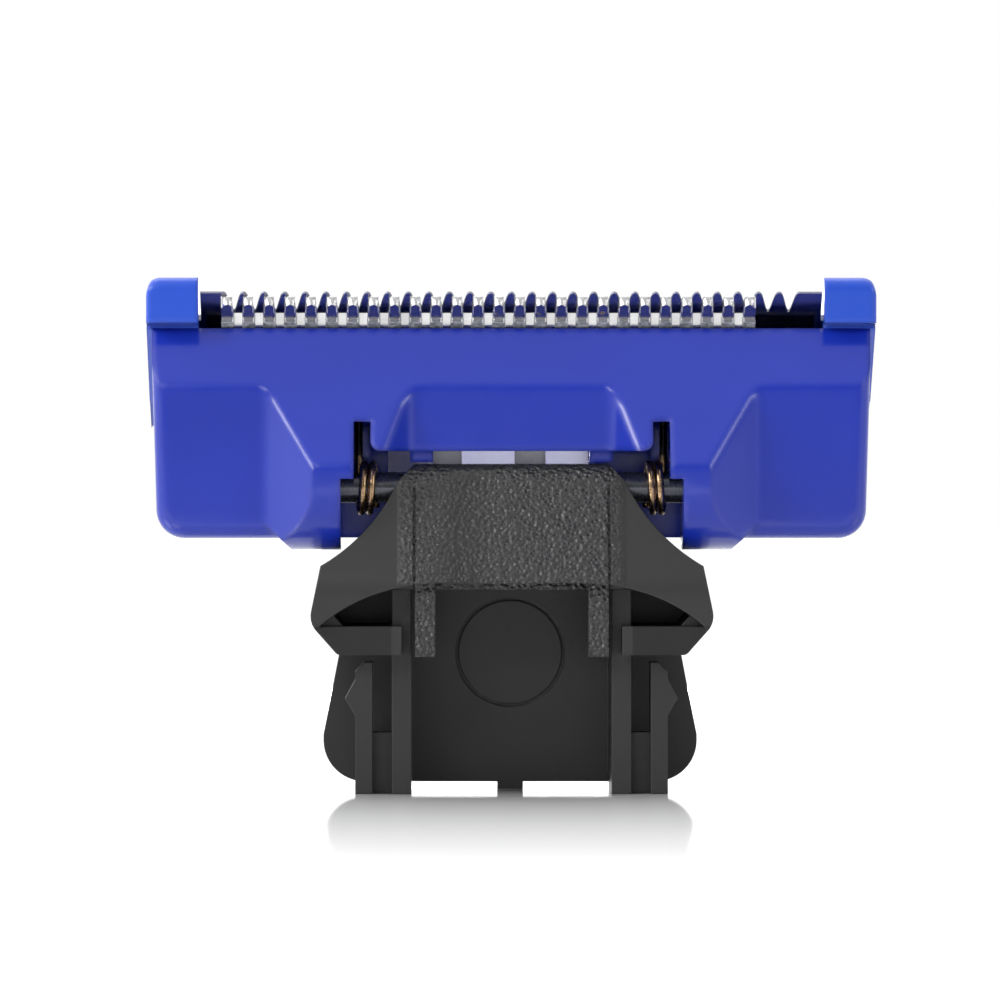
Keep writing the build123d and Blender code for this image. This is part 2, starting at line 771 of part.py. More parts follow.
with BuildPart() as hood_cavity:
    with BuildSketch(Plane.XZ):
        add(hood_front.sketch_local)
        offset(amount=-neck_wall, mode=Mode.REPLACE)
        with Locations((0, hood_bottom_z)):
            Rectangle(
                2 * (hood_foot_half - neck_wall),
                2 * neck_wall,
            )
    extrude(amount=head_depth, both=True)
    with BuildSketch(Plane.YZ):
        with BuildLine():
            Polyline(
                (hood_near_y + neck_wall, hood_bottom_z - neck_wall),
                (hood_near_y + neck_wall, hood_break_z - neck_wall / 4),
                (hinge_y, ceiling_z),
                (neck_far_y - neck_wall, roof_far_z - neck_wall),
                (neck_far_y - neck_wall, hood_bottom_z - neck_wall),
                close=True,
            )
        make_face()
    extrude(amount=head_half, both=True, mode=Mode.INTERSECT)

with BuildPart() as neck:
    with BuildSketch(Plane.XZ):
        add(hood_front.sketch_local)
    extrude(amount=head_depth, both=True)
    with BuildSketch(Plane.YZ):
        add(hood_side.sketch_local)
    extrude(amount=head_half, both=True, mode=Mode.INTERSECT)
    add(hood_cavity.part, mode=Mode.SUBTRACT)
    # Arched lip at the bottom of the hood's handle side
    with BuildSketch(Plane.XZ.offset(-hood_near_y - neck_wall)):
        with BuildLine():
            Spline(
                (-hood_half, lip_end_z),
                (-hood_top_half, lip_corner_z),
                (0, lip_middle_z),
                (hood_top_half, lip_corner_z),
                (hood_half, lip_end_z),
            )
            Polyline(
                (hood_half, lip_end_z),
                (hood_half, hood_bottom_z - neck_wall),
                (-hood_half, hood_bottom_z - neck_wall),
                (-hood_half, lip_end_z),
            )
        make_face()
    extrude(amount=2 * neck_wall, mode=Mode.SUBTRACT)
    # Floors that close the hood between its sides and the legs
    for side in (-1, 1):
        with BuildSketch(Plane.XZ.offset(-hood_near_y - hood_floor_setback)):
            add(hood_front.sketch_local)
            with Locations((side * (leg_inner_x + leg_thickness / 2), hood_bottom_z)):
                Rectangle(
                    hood_half,
                    hood_floor_top,
                    align=(Align.MIN if side > 0 else Align.MAX, Align.MIN),
                    mode=Mode.INTERSECT,
                )
        extrude(amount=hood_near_y + hood_floor_setback - leg_far_y)
    # Far wall, down to just above the feet, with a small nub at the middle
    with BuildSketch(Plane.XZ.offset(-neck_far_y)) as far_wall:
        with BuildLine():
            Polyline(
                (-hood_foot_half, hood_bottom_z + neck_wall),
                (hood_foot_half, hood_bottom_z + neck_wall),
                (hood_foot_half, hood_bottom_z),
                (back_half, back_widest_z),
                (back_half, back_bottom_z),
                (-back_half, back_bottom_z),
                (-back_half, back_widest_z),
                (-hood_foot_half, hood_bottom_z),
                close=True,
            )
        make_face()
        back_corners = far_wall.vertices().filter_by_position(Axis.Y, back_bottom_z, back_bottom_z)
        fillet(back_corners, back_corner_radius)
    extrude(amount=neck_wall)
    with BuildSketch(Plane.XY):
        with Locations((0, neck_far_y - neck_wall / 2)):
            Rectangle(2 * foot_nub_half, neck_wall)
    extrude(amount=back_bottom_z + neck_wall)
    # Ring left by the ejector on the inside of the far wall
    with BuildSketch(Plane.XZ.offset(-leg_far_y)):
        with Locations((0, mark_z)):
            Circle(mark_radius)
            Circle(mark_radius - mark_width, mode=Mode.SUBTRACT)
    extrude(amount=-mark_depth, mode=Mode.SUBTRACT)
    # Parting grooves at both sides of the grained panel
    for side in (-1, 1):
        with BuildSketch(Plane.YZ.offset(side * hood_top_half)):
            with BuildLine() as panel_line:
                Polyline(
                    (hood_near_y, lip_middle_z - neck_wall),
                    (hood_near_y, hood_break_z),
                    (hinge_y - knuckle_radius, hinge_z),
                )
            trace(panel_line.line, 2 * groove_depth)
        extrude(amount=groove_width / 2, both=True, mode=Mode.SUBTRACT)
    # Port through the roof for the fork and the drive
    with BuildSketch(Plane.XY.offset(hood_bottom_z + neck_wall)):
        with Locations((0, hinge_y + knuckle_radius)):
            Rectangle(2 * port_half, port_length, align=(Align.CENTER, Align.MIN))
    extrude(amount=head_width, mode=Mode.SUBTRACT)
    # Legs, snap fingers and the tabs behind the lip
    for side in (-1, 1):
        with BuildSketch(Plane.XY):
            with Locations((side * (leg_inner_x + leg_thickness / 2), (leg_near_y + leg_far_y) / 2)):
                Rectangle(leg_thickness, leg_far_y - leg_near_y)
        extrude(amount=leg_top_z - neck_wall)
        finger_x = leg_inner_x + leg_thickness + finger_gap
        finger_outer_x = finger_x + finger_thickness
        with BuildSketch(Plane.XZ.offset(-leg_near_y)):
            with BuildLine():
                Polyline(
                    (side * finger_x, 0),
                    (side * finger_outer_x, 0),
                    (side * finger_outer_x, hook_low_z),
                    (side * (finger_outer_x + hook_reach), hook_peak_z),
                    (side * finger_outer_x, hook_high_z),
                    (side * finger_outer_x, finger_top_z - finger_bevel),
                    (side * (finger_outer_x - finger_bevel), finger_top_z),
                    (side * finger_x, finger_top_z),
                    close=True,
                )
            make_face()
        extrude(amount=-finger_depth)
        with BuildSketch(Plane.XY):
            with Locations((side * (finger_x - finger_gap / 2), leg_near_y + web_setback)):
                Rectangle(
                    finger_gap + finger_thickness,
                    finger_depth - web_setback,
                    align=(Align.CENTER, Align.MIN),
                )
        extrude(amount=web_height)
        with BuildSketch(Plane.XY.offset(tab_bottom_z)):
            with Locations((side * (tab_inner_x + tab_width / 2), hood_near_y + neck_wall / 2)):
                Rectangle(tab_width, tab_thickness, align=(Align.CENTER, Align.MIN))
        extrude(amount=tab_top_z - tab_bottom_z)
        # Seat for the hinge pin
        with Locations(Plane((side * knuckle_half, hinge_y, hinge_z), z_dir=(side, 0, 0))):
            Cylinder(pin_radius + pin_seat_gap, 2 * pin_seat_depth, mode=Mode.SUBTRACT)

neck.part.label = "neck"
export_step(neck.part, "parts/neck.step")
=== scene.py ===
import logging
import math
from dataclasses import dataclass, replace
from enum import Enum
from functools import reduce
from typing import ClassVar, Sequence

import bmesh
import bpy
import numpy as np
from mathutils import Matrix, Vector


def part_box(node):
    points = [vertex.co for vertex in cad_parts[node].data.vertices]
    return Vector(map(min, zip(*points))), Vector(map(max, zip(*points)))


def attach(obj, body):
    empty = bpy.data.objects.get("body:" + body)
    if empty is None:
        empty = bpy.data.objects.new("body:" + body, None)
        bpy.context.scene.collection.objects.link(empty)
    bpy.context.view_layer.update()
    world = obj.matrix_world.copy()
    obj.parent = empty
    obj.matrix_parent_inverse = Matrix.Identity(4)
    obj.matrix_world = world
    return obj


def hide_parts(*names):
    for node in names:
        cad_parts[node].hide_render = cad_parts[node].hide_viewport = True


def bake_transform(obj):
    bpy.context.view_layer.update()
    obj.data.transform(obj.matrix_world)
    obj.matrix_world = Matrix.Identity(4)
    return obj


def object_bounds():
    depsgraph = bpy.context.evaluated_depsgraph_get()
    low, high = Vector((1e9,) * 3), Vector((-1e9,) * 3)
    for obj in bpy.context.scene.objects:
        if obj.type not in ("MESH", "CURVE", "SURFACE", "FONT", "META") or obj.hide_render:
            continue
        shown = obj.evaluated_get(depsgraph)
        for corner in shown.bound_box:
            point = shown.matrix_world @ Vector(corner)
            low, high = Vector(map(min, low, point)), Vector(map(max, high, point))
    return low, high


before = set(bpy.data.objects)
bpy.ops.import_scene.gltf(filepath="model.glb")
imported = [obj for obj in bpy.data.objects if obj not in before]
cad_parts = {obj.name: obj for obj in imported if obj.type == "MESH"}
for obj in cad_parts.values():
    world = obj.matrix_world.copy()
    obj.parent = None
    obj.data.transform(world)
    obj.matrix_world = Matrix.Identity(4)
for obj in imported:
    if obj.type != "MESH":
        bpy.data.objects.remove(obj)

CAD_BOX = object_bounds()
MM = 0.001
HAIR_MM = 1e-4
RGB = tuple[float, float, float]
Pair = tuple[float, float]
Array = np.ndarray
Socket = bpy.types.NodeSocket
Value = Socket | float | RGB

logging.basicConfig(level=logging.INFO, format="%(levelname)s %(message)s")
log = logging.getLogger("shaver_head")


class Body(Enum):
    """The rigid bodies that pieces ride on."""

    NECK = "neck"
    HEAD = "head"
    CUTTER = "cutter"


class Side(Enum):
    """The two ends of the head, as signs along X."""

    LEFT = -1
    RIGHT = 1

    @property
    def word(self) -> str:
        """The side's name in lower case."""
        return self.name.lower()


class NodeTree:
    """A node tree with short calls for the nodes that the finishes and the tent use."""

    def __init__(self, tree: bpy.types.NodeTree, coordinates: str) -> None:
        """Take over a tree.

        Args:
            tree: The tree of a material or a world.
            coordinates: The texture coordinates that its patterns read.
        """
        self.tree = tree
        self.place = self.node("TexCoord").outputs[coordinates]

    def node(self, kind: str, **settings: object) -> bpy.types.Node:
        """Add a node and set its properties.

        Args:
            kind: The node's type without the ShaderNode prefix.
            settings: Property names and values.

        Returns:
            The new node.
        """
        node = self.tree.nodes.new("ShaderNode" + kind)
        for key, value in settings.items():
            setattr(node, key, value)
        return node

    def feed(self, target: Socket, value: Value) -> None:
        """Link a socket to the target, or set the target's own value.

        Args:
            target: The input socket.
            value: An output socket, a number or a colour.
        """
        if isinstance(value, Socket):
            self.tree.links.new(value, target)
        elif isinstance(value, tuple) and len(value) == 3 and len(target.default_value) == 4:
            target.default_value = (*value, 1.0)
        else:
            target.default_value = value

    def math(self, operation: str, *values: Value) -> Socket:
        """Combine numbers with a Math node.

        Args:
            operation: The node's operation.
            values: Its inputs, as sockets or numbers.

        Returns:
            The result's socket.
        """
        node = self.node("Math", operation=operation)
        for socket, value in zip(node.inputs, values):
            self.feed(socket, value)
        return node.outputs[0]

    def product(self, *values: Value) -> Socket:
        """The product of all the numbers."""
        return reduce(lambda first, second: self.math("MULTIPLY", first, second), values)

    def span(self, value: Value, low: float, high: float, out: Pair = (0.0, 1.0)) -> Socket:
        """Map a number from low..high to out, held at both ends.

        Args:
            value: The number's socket.
            low: Where the first result holds.
            high: Where the second result holds.
            out: The two results.

        Returns:
            The mapped number's socket.
        """
        node = self.node("MapRange")
        for socket, item in zip(node.inputs, (value, low, high, *out)):
            self.feed(socket, item)
        return node.outputs[0]

    def span_mm(self, length: Value, low: float, high: float, out: Pair = (0.0, 1.0)) -> Socket:
        """The same as span for a length in metres, with its limits in millimetres."""
        return self.span(length, low * MM, high * MM, out)

    def axes(self) -> tuple[Socket, ...]:
        """The X, Y and Z of the coordinates."""
        node = self.node("SeparateXYZ")
        self.feed(node.inputs[0], self.place)
        return tuple(node.outputs)


class ShaderTree(NodeTree):
    """A material's tree with a Principled shader, on the object's own coordinates."""

    def __init__(self, name: str) -> None:
        """Start a material.

        Args:
            name: The material's name.
        """
        self.material = bpy.data.materials.new(name)
        self.material.use_nodes = True
        super().__init__(self.material.node_tree, "Object")
        self.shader = self.tree.nodes["Principled BSDF"]

    def set(self, **values: Value) -> None:
        """Set the Principled shader's inputs by name, with spaces written as underscores."""
        for key, value in values.items():
            name = key.replace("_", " ").title().replace("Ior", "IOR")
            self.feed(self.shader.inputs[name], value)

    def noise(self, per_mm: float, detail: float = 3.0, stretch: RGB = (1.0, 1.0, 1.0)) -> Socket:
        """Smooth noise on the object's own coordinates.

        Args:
            per_mm: Cells per millimetre.
            detail: Octaves.
            stretch: Scale factors along the axes.

        Returns:
            The noise value's socket.
        """
        mapping = self.node("Mapping")
        self.feed(mapping.inputs["Vector"], self.place)
        mapping.inputs["Scale"].default_value = stretch
        node = self.node("TexNoise")
        self.feed(node.inputs["Vector"], mapping.outputs[0])
        node.inputs["Scale"].default_value = per_mm / MM
        node.inputs["Detail"].default_value = detail
        node.inputs["Roughness"].default_value = 0.55
        return node.outputs["Fac"]

    def blend(self, amount: Value, first: Value, second: Value) -> Socket:
        """Mix two colours.

        Args:
            amount: The share of the second colour.
            first: The first colour or socket.
            second: The second colour or socket.

        Returns:
            The mixed colour's socket.
        """
        node = self.node("Mix", data_type="RGBA")
        for socket, value in zip((node.inputs[0], *node.inputs[6:8]), (amount, first, second)):
            self.feed(socket, value)
        return node.outputs[2]

    def relief(self, height: Socket, depth_mm: float, edge_mm: float = 0.0) -> None:
        """Give the shader a bump from a height, over edges that look rounded.

        Args:
            height: The height's socket, from 0 to 1.
            depth_mm: What a height of 1 stands for.
            edge_mm: Radius of the rounded look at sharp edges.
        """
        bump = self.node("Bump")
        bump.inputs["Distance"].default_value = depth_mm * MM
        self.feed(bump.inputs["Height"], height)
        if edge_mm:
            edge = self.node("Bevel", samples=6)
            edge.inputs["Radius"].default_value = edge_mm * MM
            self.feed(bump.inputs["Normal"], edge.outputs[0])
        self.feed(self.shader.inputs["Normal"], bump.outputs[0])


@dataclass(frozen=True)
class BladePlane:
    """The plane of the comb's underside, tilted about X with its handle-side edge high.

    Fields:
        origin: The middle of the underside, in metres.
        tilt_deg: The plane's tilt.
    """

    origin: RGB
    tilt_deg: float = 40.0

    comb_mm: ClassVar[float] = 0.4

    @classmethod
    def from_comb(cls) -> "BladePlane":
        """Find the plane from the comb's box: its middle lies half the plate's thickness below
        the box's.

        Returns:
            The plane.
        """
        low, high = (np.array(corner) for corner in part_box("comb"))
        half = cls.comb_mm * MM / 2
        plane = cls((0.0, 0.0, 0.0))
        middle = (low + high) / 2 - half * np.array((0.0, plane.sine, plane.cosine))
        return cls(tuple(map(float, middle)))

    @property
    def sine(self) -> float:
        """Sine of the tilt."""
        return math.sin(math.radians(self.tilt_deg))

    @property
    def cosine(self) -> float:
        """Cosine of the tilt."""
        return math.cos(math.radians(self.tilt_deg))

    def points(self, x: Array, across: Array, up: Array) -> Array:
        """Points of the part from places on the plane: y = across * cos + up * sin and
        z = up * cos - across * sin, from the plane's origin.

        Args:
            x: Places along the blade, in millimetres.
            across: Places across it, negative towards the handle side.
            up: Heights above the comb's underside.

        Returns:
            Points in metres, in the shape of the arguments with a last axis of three.
        """
        y = across * self.cosine + up * self.sine
        z = up * self.cosine - across * self.sine
        return np.stack((x, y, z), axis=-1) * MM + np.array(self.origin)

    def rings(self, near: Sequence[tuple[Array, Array, Array]]) -> Array:
        """Sections of a blade from the handle-side half of its outline; the other half has the
        same points with the sign of their place across turned round.

        Args:
            near: Points of the half outline: places along, across and up at every section.

        Returns:
            Points in metres, as an array of sections by points by three.
        """
        far = [(x, -across, up) for x, across, up in reversed(near)]
        return self.points(*(np.stack(places, axis=-1) for places in zip(*near, *far)))


@dataclass(frozen=True)
class BluePlastic:
    """Glossy moulded plastic in a deep blue, with faint flow shading.

    Fields:
        deep, light: The two blues.
        roughness, swing: Middle of the roughness, and what the skin takes from it and adds.
        flow_per_mm: Cells of the flow shading in a millimetre.
        skin_per_mm, ripple_mm: Cells of the skin in a millimetre, and their depth.
        edge_mm: Radius of the rounded look at edges.
    """

    name: str = "blue_moulded_plastic"
    deep: RGB = (0.0055, 0.023, 0.335)
    light: RGB = (0.0072, 0.0275, 0.385)
    roughness: float = 0.235
    swing: float = 0.03
    flow_per_mm: float = 0.12
    skin_per_mm: float = 1.4
    ripple_mm: float = 0.003
    edge_mm: float = 0.5

    def build(self) -> bpy.types.Material:
        """Make the material."""
        tree = ShaderTree(self.name)
        flow = tree.noise(self.flow_per_mm, 2.0, (0.4, 1.0, 1.0))
        skin = tree.noise(self.skin_per_mm, 2.0)
        gloss = (self.roughness - self.swing, self.roughness + self.swing)
        tree.set(
            base_color=tree.blend(tree.span(flow, 0.35, 0.65), self.deep, self.light),
            roughness=tree.span(skin, 0.3, 0.7, gloss),
            ior=1.5,
            coat_weight=0.3,
            coat_roughness=0.06,
        )
        tree.relief(skin, self.ripple_mm, self.edge_mm)
        return tree.material


@dataclass(frozen=True)
class BlackPlastic:
    """Black moulded plastic, grained like leather on the hood's panel and on the tabs.

    Fields:
        base, pit, peak: Colours of plain faces, of the grain's pits and of its crests.
        panel_half_mm, panel_low_mm, panel_front_mm: Side, foot and front of the panel.
        base, pit, peak: Colours of plain faces, of the grain's pits and of its crests; the pits carry
            painted shade and the crests painted light on the relief.
        worn_mm, worn_core_mm, worn_half_mm, worn_share: The worn band, and the grain left there.
        floor_mm, floor_top_mm, floor_back_mm: Side, height and end of the floors in the hood.
        grain_per_mm, grain_mm: Cells of the grain in a millimetre, and their depth.
        floor_mm, floor_top_mm, floor_back_mm: Side, height and end of the floors in the hood, which get
            painted shade.
        blur_mm, panel_rim_mm, floor_rim_mm: Softness of the limits.
    """

    name: str = "black_grained_plastic"
    base: RGB = (0.025, 0.025, 0.025)
    pit: RGB = (0.009, 0.009, 0.009)
    peak: RGB = (0.034, 0.034, 0.034)
    panel_half_mm: float = 5.1
    panel_low_mm: float = 7.0
    panel_front_mm: float = -2.3
    fade_mm: float = 0.9
    lip_mm: float = 11.0
    worn_mm: float = -2.4
    worn_core_mm: float = 0.4
    worn_half_mm: float = 2.0
    worn_share: float = 0.3
    floor_mm: float = 6.3
    floor_top_mm: float = 8.83
    floor_back_mm: float = -4.0
    grain_per_mm: float = 4.6
    grain_mm: float = 0.15
    edge_mm: float = 0.12
    blur_mm: float = 0.2
    panel_rim_mm: float = 0.04
    floor_rim_mm: float = 0.02

    def build(self) -> bpy.types.Material:
        """Make the material, with grain and the floors' painted shade told by their place."""
        tree = ShaderTree(self.name)
        x, y, z = tree.axes()
        width = tree.math("ABSOLUTE", x)
        raised = tree.span_mm(z, self.panel_low_mm, self.panel_low_mm + self.blur_mm)
        half, rim = self.panel_half_mm, self.panel_rim_mm
        soft = tree.span_mm(width, half + self.fade_mm, half)
        crisp = tree.span_mm(width, half + rim, half - rim)
        above = tree.span_mm(z, self.lip_mm - self.blur_mm / 2, self.lip_mm + self.blur_mm / 2)
        inside = tree.math("MAXIMUM", crisp, tree.product(soft, above))
        front = tree.span_mm(y, self.panel_front_mm, self.panel_front_mm - self.blur_mm)
        mask = tree.product(inside, front, raised)
        off_band = tree.math("ABSOLUTE", tree.math("SUBTRACT", x, self.worn_mm * MM))
        worn = tree.span_mm(off_band, self.worn_core_mm, self.worn_half_mm, (self.worn_share, 1.0))
        cells = tree.node("TexVoronoi", feature="SMOOTH_F1")
        cells.inputs["Scale"].default_value = self.grain_per_mm / MM
        cells.inputs["Smoothness"].default_value = 0.5
        tree.feed(cells.inputs["Vector"], tree.place)
        uneven = tree.product(tree.noise(4.2, 2.0), 0.6)
        grain = tree.math("ADD", cells.outputs["Distance"], uneven)
        fine = tree.product(tree.noise(6.0, 4.0), 0.04)
        height = tree.math("ADD", tree.product(grain, mask, worn), fine)
        # Painted shade and light: the grain's pits are coloured darker and its crests lighter, by the
        # relief's height.
        pale = tree.blend(tree.span(grain, 0.4, 0.9), self.pit, self.peak)
        # Painted shade: the floors deep in the hood get the dark pit colour.
        rim = self.floor_rim_mm
        outer = tree.span_mm(width, self.floor_mm - rim, self.floor_mm + rim)
        under = tree.span_mm(z, self.floor_top_mm + rim, self.floor_top_mm - rim)
        ahead = tree.span_mm(y, self.floor_back_mm, self.floor_back_mm - self.blur_mm)
        plain = tree.blend(tree.product(outer, under, raised, ahead), self.base, self.pit)
        tree.set(
            base_color=tree.blend(tree.product(mask, worn), plain, pale),
            roughness=tree.span(mask, 0.0, 1.0, (0.36, 0.3)),
            ior=1.5,
        )
        tree.relief(height, self.grain_mm, self.edge_mm)
        return tree.material


@dataclass(frozen=True)
class Steel:
    """Blade steel with fine grinding lines along one axis and optional spots of rust. With a
    blade plane it also has painted shade and reflection under the teeth and a mottled block.

    Fields:
        base, roughness: The steel's colour and the middle of its roughness.
        lines_per_mm, stretch, line_mm: Grinding lines in a millimetre, their stretch and depth.
        edge_mm: Radius of the rounded look at edges.
        spots_mm, spot_mm, rust: Middles, radius and colour of the rust spots.
        plane: The plane that the heights of film and block count from.
        teeth_shade, teeth_shade_mm: Painted shade and reflection on the teeth's underside: its colour,
            and the heights between which it lies.
        block_mm, mottle: Height under which the block is mottled, and its two colours.
    """

    name: str
    base: RGB
    roughness: float
    lines_per_mm: float
    stretch: RGB
    line_mm: float = 0.004
    edge_mm: float = 0.05
    spots_mm: tuple[RGB, ...] = ()
    spot_mm: float = 0.28
    rust: RGB = (0.16, 0.07, 0.02)
    plane: BladePlane | None = None
    teeth_shade: RGB = (0.30, 0.30, 0.34)
    teeth_shade_mm: Pair = (-0.54, -0.505)
    block_mm: float = -0.70
    mottle: tuple[RGB, RGB] = ((0.20, 0.21, 0.22), (0.55, 0.56, 0.57))

    def build(self) -> bpy.types.Material:
        """Make the material."""
        tree = ShaderTree(self.name)
        lines = tree.noise(self.lines_per_mm, 4.0, self.stretch)
        cloud = tree.noise(0.5, 3.0)
        dim = tuple(0.8 * c for c in self.base)
        colour = tree.blend(tree.span(cloud, 0.35, 0.7), self.base, dim)
        rough = tree.span(lines, 0.3, 0.7, (self.roughness * 0.75, self.roughness * 1.35))
        metal: Value = 1.0
        if self.plane:
            colour, rough, metal = self.zones(tree, colour, rough)
        if self.spots_mm:
            stain = self.stains(tree)
            colour = tree.blend(stain, colour, self.rust)
            rough = tree.math("MAXIMUM", rough, tree.product(stain, 0.7))
            metal = tree.product(metal, tree.math("SUBTRACT", 1.0, tree.product(stain, 0.9)))
        tree.set(base_color=colour, roughness=rough, metallic=metal)
        tree.relief(lines, self.line_mm, self.edge_mm)
        return tree.material

    def zones(self, tree: ShaderTree, colour: Value, rough: Value) -> tuple[Value, Value, Value]:
        """Paint shade and reflection on the teeth's underside, and tell the mottled block, by their
        height on the plane.

        Args:
            tree: The material's tree.
            colour: The steel's colour.
            rough: Its roughness.

        Returns:
            Colour, roughness and metal share.
        """
        _, y, z = tree.axes()
        sine, cosine = self.plane.sine, self.plane.cosine
        level = self.plane.origin[1] * sine + self.plane.origin[2] * cosine
        lift = tree.math("ADD", tree.product(y, sine), tree.product(z, cosine))
        up = tree.math("SUBTRACT", lift, level)
        blur = 0.01
        # Painted shade and reflection: the teeth's underside gets the darker grey colour.
        low, high = self.teeth_shade_mm
        teeth_shade = tree.product(tree.span_mm(up, low, low + blur), tree.span_mm(up, high, high - blur))
        block = tree.span_mm(up, self.block_mm, self.block_mm - blur)
        mottle = tree.blend(tree.span(tree.noise(4.0, 4.0), 0.4, 0.65), *self.mottle)
        colour = tree.blend(block, tree.blend(teeth_shade, colour, self.teeth_shade), mottle)
        rough = tree.math("MAXIMUM", rough, tree.product(block, 0.5))
        metal = tree.math("SUBTRACT", 1.0, tree.product(block, 0.7))
        return colour, rough, metal

    def stains(self, tree: ShaderTree) -> Value:
        """Ragged spots: one minus the distance to the nearest spot's centre, broken up by noise.

        Args:
            tree: The material's tree.

        Returns:
            The stain's strength, from 0 to 1.
        """
        ragged = tree.product(tree.noise(5.0, 4.0), 0.5 * self.spot_mm * MM)
        stain: Value = 0.0
        for centre in self.spots_mm:
            away = tree.node("VectorMath", operation="DISTANCE")
            tree.feed(away.inputs[0], tree.place)
            away.inputs[1].default_value = tuple(c * MM for c in centre)
            reach = tree.math("ADD", away.outputs["Value"], ragged)
            spot = tree.span_mm(reach, self.spot_mm, 0.4 * self.spot_mm, (0.0, 0.85))
            stain = tree.math("MAXIMUM", stain, spot)
        return stain


@dataclass(frozen=True)
class Wire:
    """Drawn spring wire with lengthwise streaks, with painted shade on the legs over the coils.

    Fields:
        base, dark, leg: Colours of the wire, of its streaks and of the painted shade on the upright
            legs.
        leg_mm, leg_blur_mm: Height where a leg starts, and in which its colour changes.
    """

    name: str = "bronze_spring_wire"
    base: RGB = (0.42, 0.29, 0.17)
    dark: RGB = (0.20, 0.12, 0.06)
    leg: RGB = (0.012, 0.011, 0.012)
    leg_mm: float = 17.4
    leg_blur_mm: float = 0.4

    def build(self) -> bpy.types.Material:
        """Make the material."""
        tree = ShaderTree(self.name)
        streaks = tree.noise(4.0, 4.0)
        drawn = tree.blend(tree.span(streaks, 0.4, 0.75), self.base, self.dark)
        # Painted shade: the upright legs, deep in the slots, are coloured near black.
        above = tree.span_mm(tree.axes()[2], self.leg_mm, self.leg_mm + self.leg_blur_mm)
        tree.set(
            base_color=tree.blend(above, drawn, self.leg),
            metallic=1.0,
            roughness=tree.span(streaks, 0.3, 0.7, (0.18, 0.34)),
        )
        tree.relief(streaks, 0.01)
        return tree.material


@dataclass(frozen=True)
class DarkPin:
    """Blackened steel of the hinge pins, with turning marks round them."""

    name: str = "dark_pin_steel"
    base: RGB = (0.10, 0.105, 0.12)

    def build(self) -> bpy.types.Material:
        """Make the material."""
        tree = ShaderTree(self.name)
        turned = tree.noise(3.0, 3.0, (4.0, 1.0, 1.0))
        gloss = tree.span(turned, 0.3, 0.7, (0.16, 0.3))
        tree.set(base_color=self.base, metallic=0.85, roughness=gloss)
        tree.relief(turned, 0.006)
        return tree.material


@dataclass(frozen=True)
class GreyPlastic:
    """Light grey moulded plastic of the carriage, which lets some light through. The plate round the
    prongs has painted shade with a reflected blue tint.

    Fields:
        base, pale, shade: Colours of the plate, painted violet-grey as shade with reflected blue, of the
            fork's prongs and of darker spots.
        prong_mm, rim_mm: Where a prong starts and ends, and how soft its limits are.
        glow_mm: How far light spreads inside.
    """

    name: str = "light_grey_plastic"
    base: RGB = (0.42, 0.42, 0.60)
    pale: RGB = (0.95, 0.95, 0.97)
    shade: RGB = (0.3, 0.3, 0.4)
    prong_mm: Pair = (1.4, 3.03)
    rim_mm: float = 0.02
    glow_mm: float = 4.0

    def build(self) -> bpy.types.Material:
        """Make the material."""
        tree = ShaderTree(self.name)
        skin = tree.noise(3.0, 3.0)
        low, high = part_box("cutter_carriage")
        middle = (low[0] + high[0]) / 2
        along = tree.math("ABSOLUTE", tree.math("SUBTRACT", tree.axes()[0], middle))
        start, end = self.prong_mm
        past = tree.span_mm(along, start - self.rim_mm, start + self.rim_mm)
        short = tree.span_mm(along, end + self.rim_mm, end - self.rim_mm)
        # Painted shade: outside the prongs the plate gets the violet-grey colour of the plastic in
        # shade, tinted by reflected blue.
        body = tree.blend(tree.product(past, short), self.base, self.pale)
        spots = tree.product(tree.span(skin, 0.35, 0.7), 0.12)
        tree.set(
            base_color=tree.blend(spots, body, self.shade),
            roughness=tree.span(skin, 0.3, 0.7, (0.35, 0.5)),
            subsurface_weight=0.9,
            subsurface_radius=(1.0, 1.0, 1.1),
            subsurface_scale=self.glow_mm * MM,
        )
        tree.relief(skin, 0.01, 0.08)
        return tree.material


def surface_object(
    name: str, points: Array, faces: Sequence[Sequence[int]], smooth: bool
) -> bpy.types.Object:
    """Make a mesh object at the origin from arrays of points and faces.

    Args:
        name: The object's name.
        points: Vertices in metres, one row each.
        faces: Vertex numbers of each face.
        smooth: Whether the faces are shaded smooth.

    Returns:
        The new object, linked to the scene.
    """
    mesh = bpy.data.meshes.new(name)
    mesh.from_pydata(points.tolist(), [], faces)
    mesh.validate()
    mesh.polygons.foreach_set("use_smooth", np.full(len(mesh.polygons), smooth))
    mesh.update()
    obj = bpy.data.objects.new(name, mesh)
    bpy.context.scene.collection.objects.link(obj)
    return obj


def ring_object(name: str, rings: Array, smooth: bool = False) -> bpy.types.Object:
    """Close a row of rings into one body: quads between one ring and the next, and a flat face
    at each end.

    Args:
        name: The object's name.
        rings: Points of every ring, in metres, as an array of rings by points by three.
        smooth: Whether the faces are shaded smooth.

    Returns:
        The body.
    """
    count, around = rings.shape[:2]
    row, column = np.meshgrid(np.arange(count - 1), np.arange(around), indexing="ij")
    here, after = row * around + column, row * around + (column + 1) % around
    quads = np.stack((here, after, after + around, here + around), axis=-1).reshape(-1, 4)
    first, last = np.arange(around)[::-1], np.arange((count - 1) * around, count * around)
    faces = quads.tolist() + [first.tolist(), last.tolist()]
    return surface_object(name, rings.reshape(-1, 3), faces, smooth)


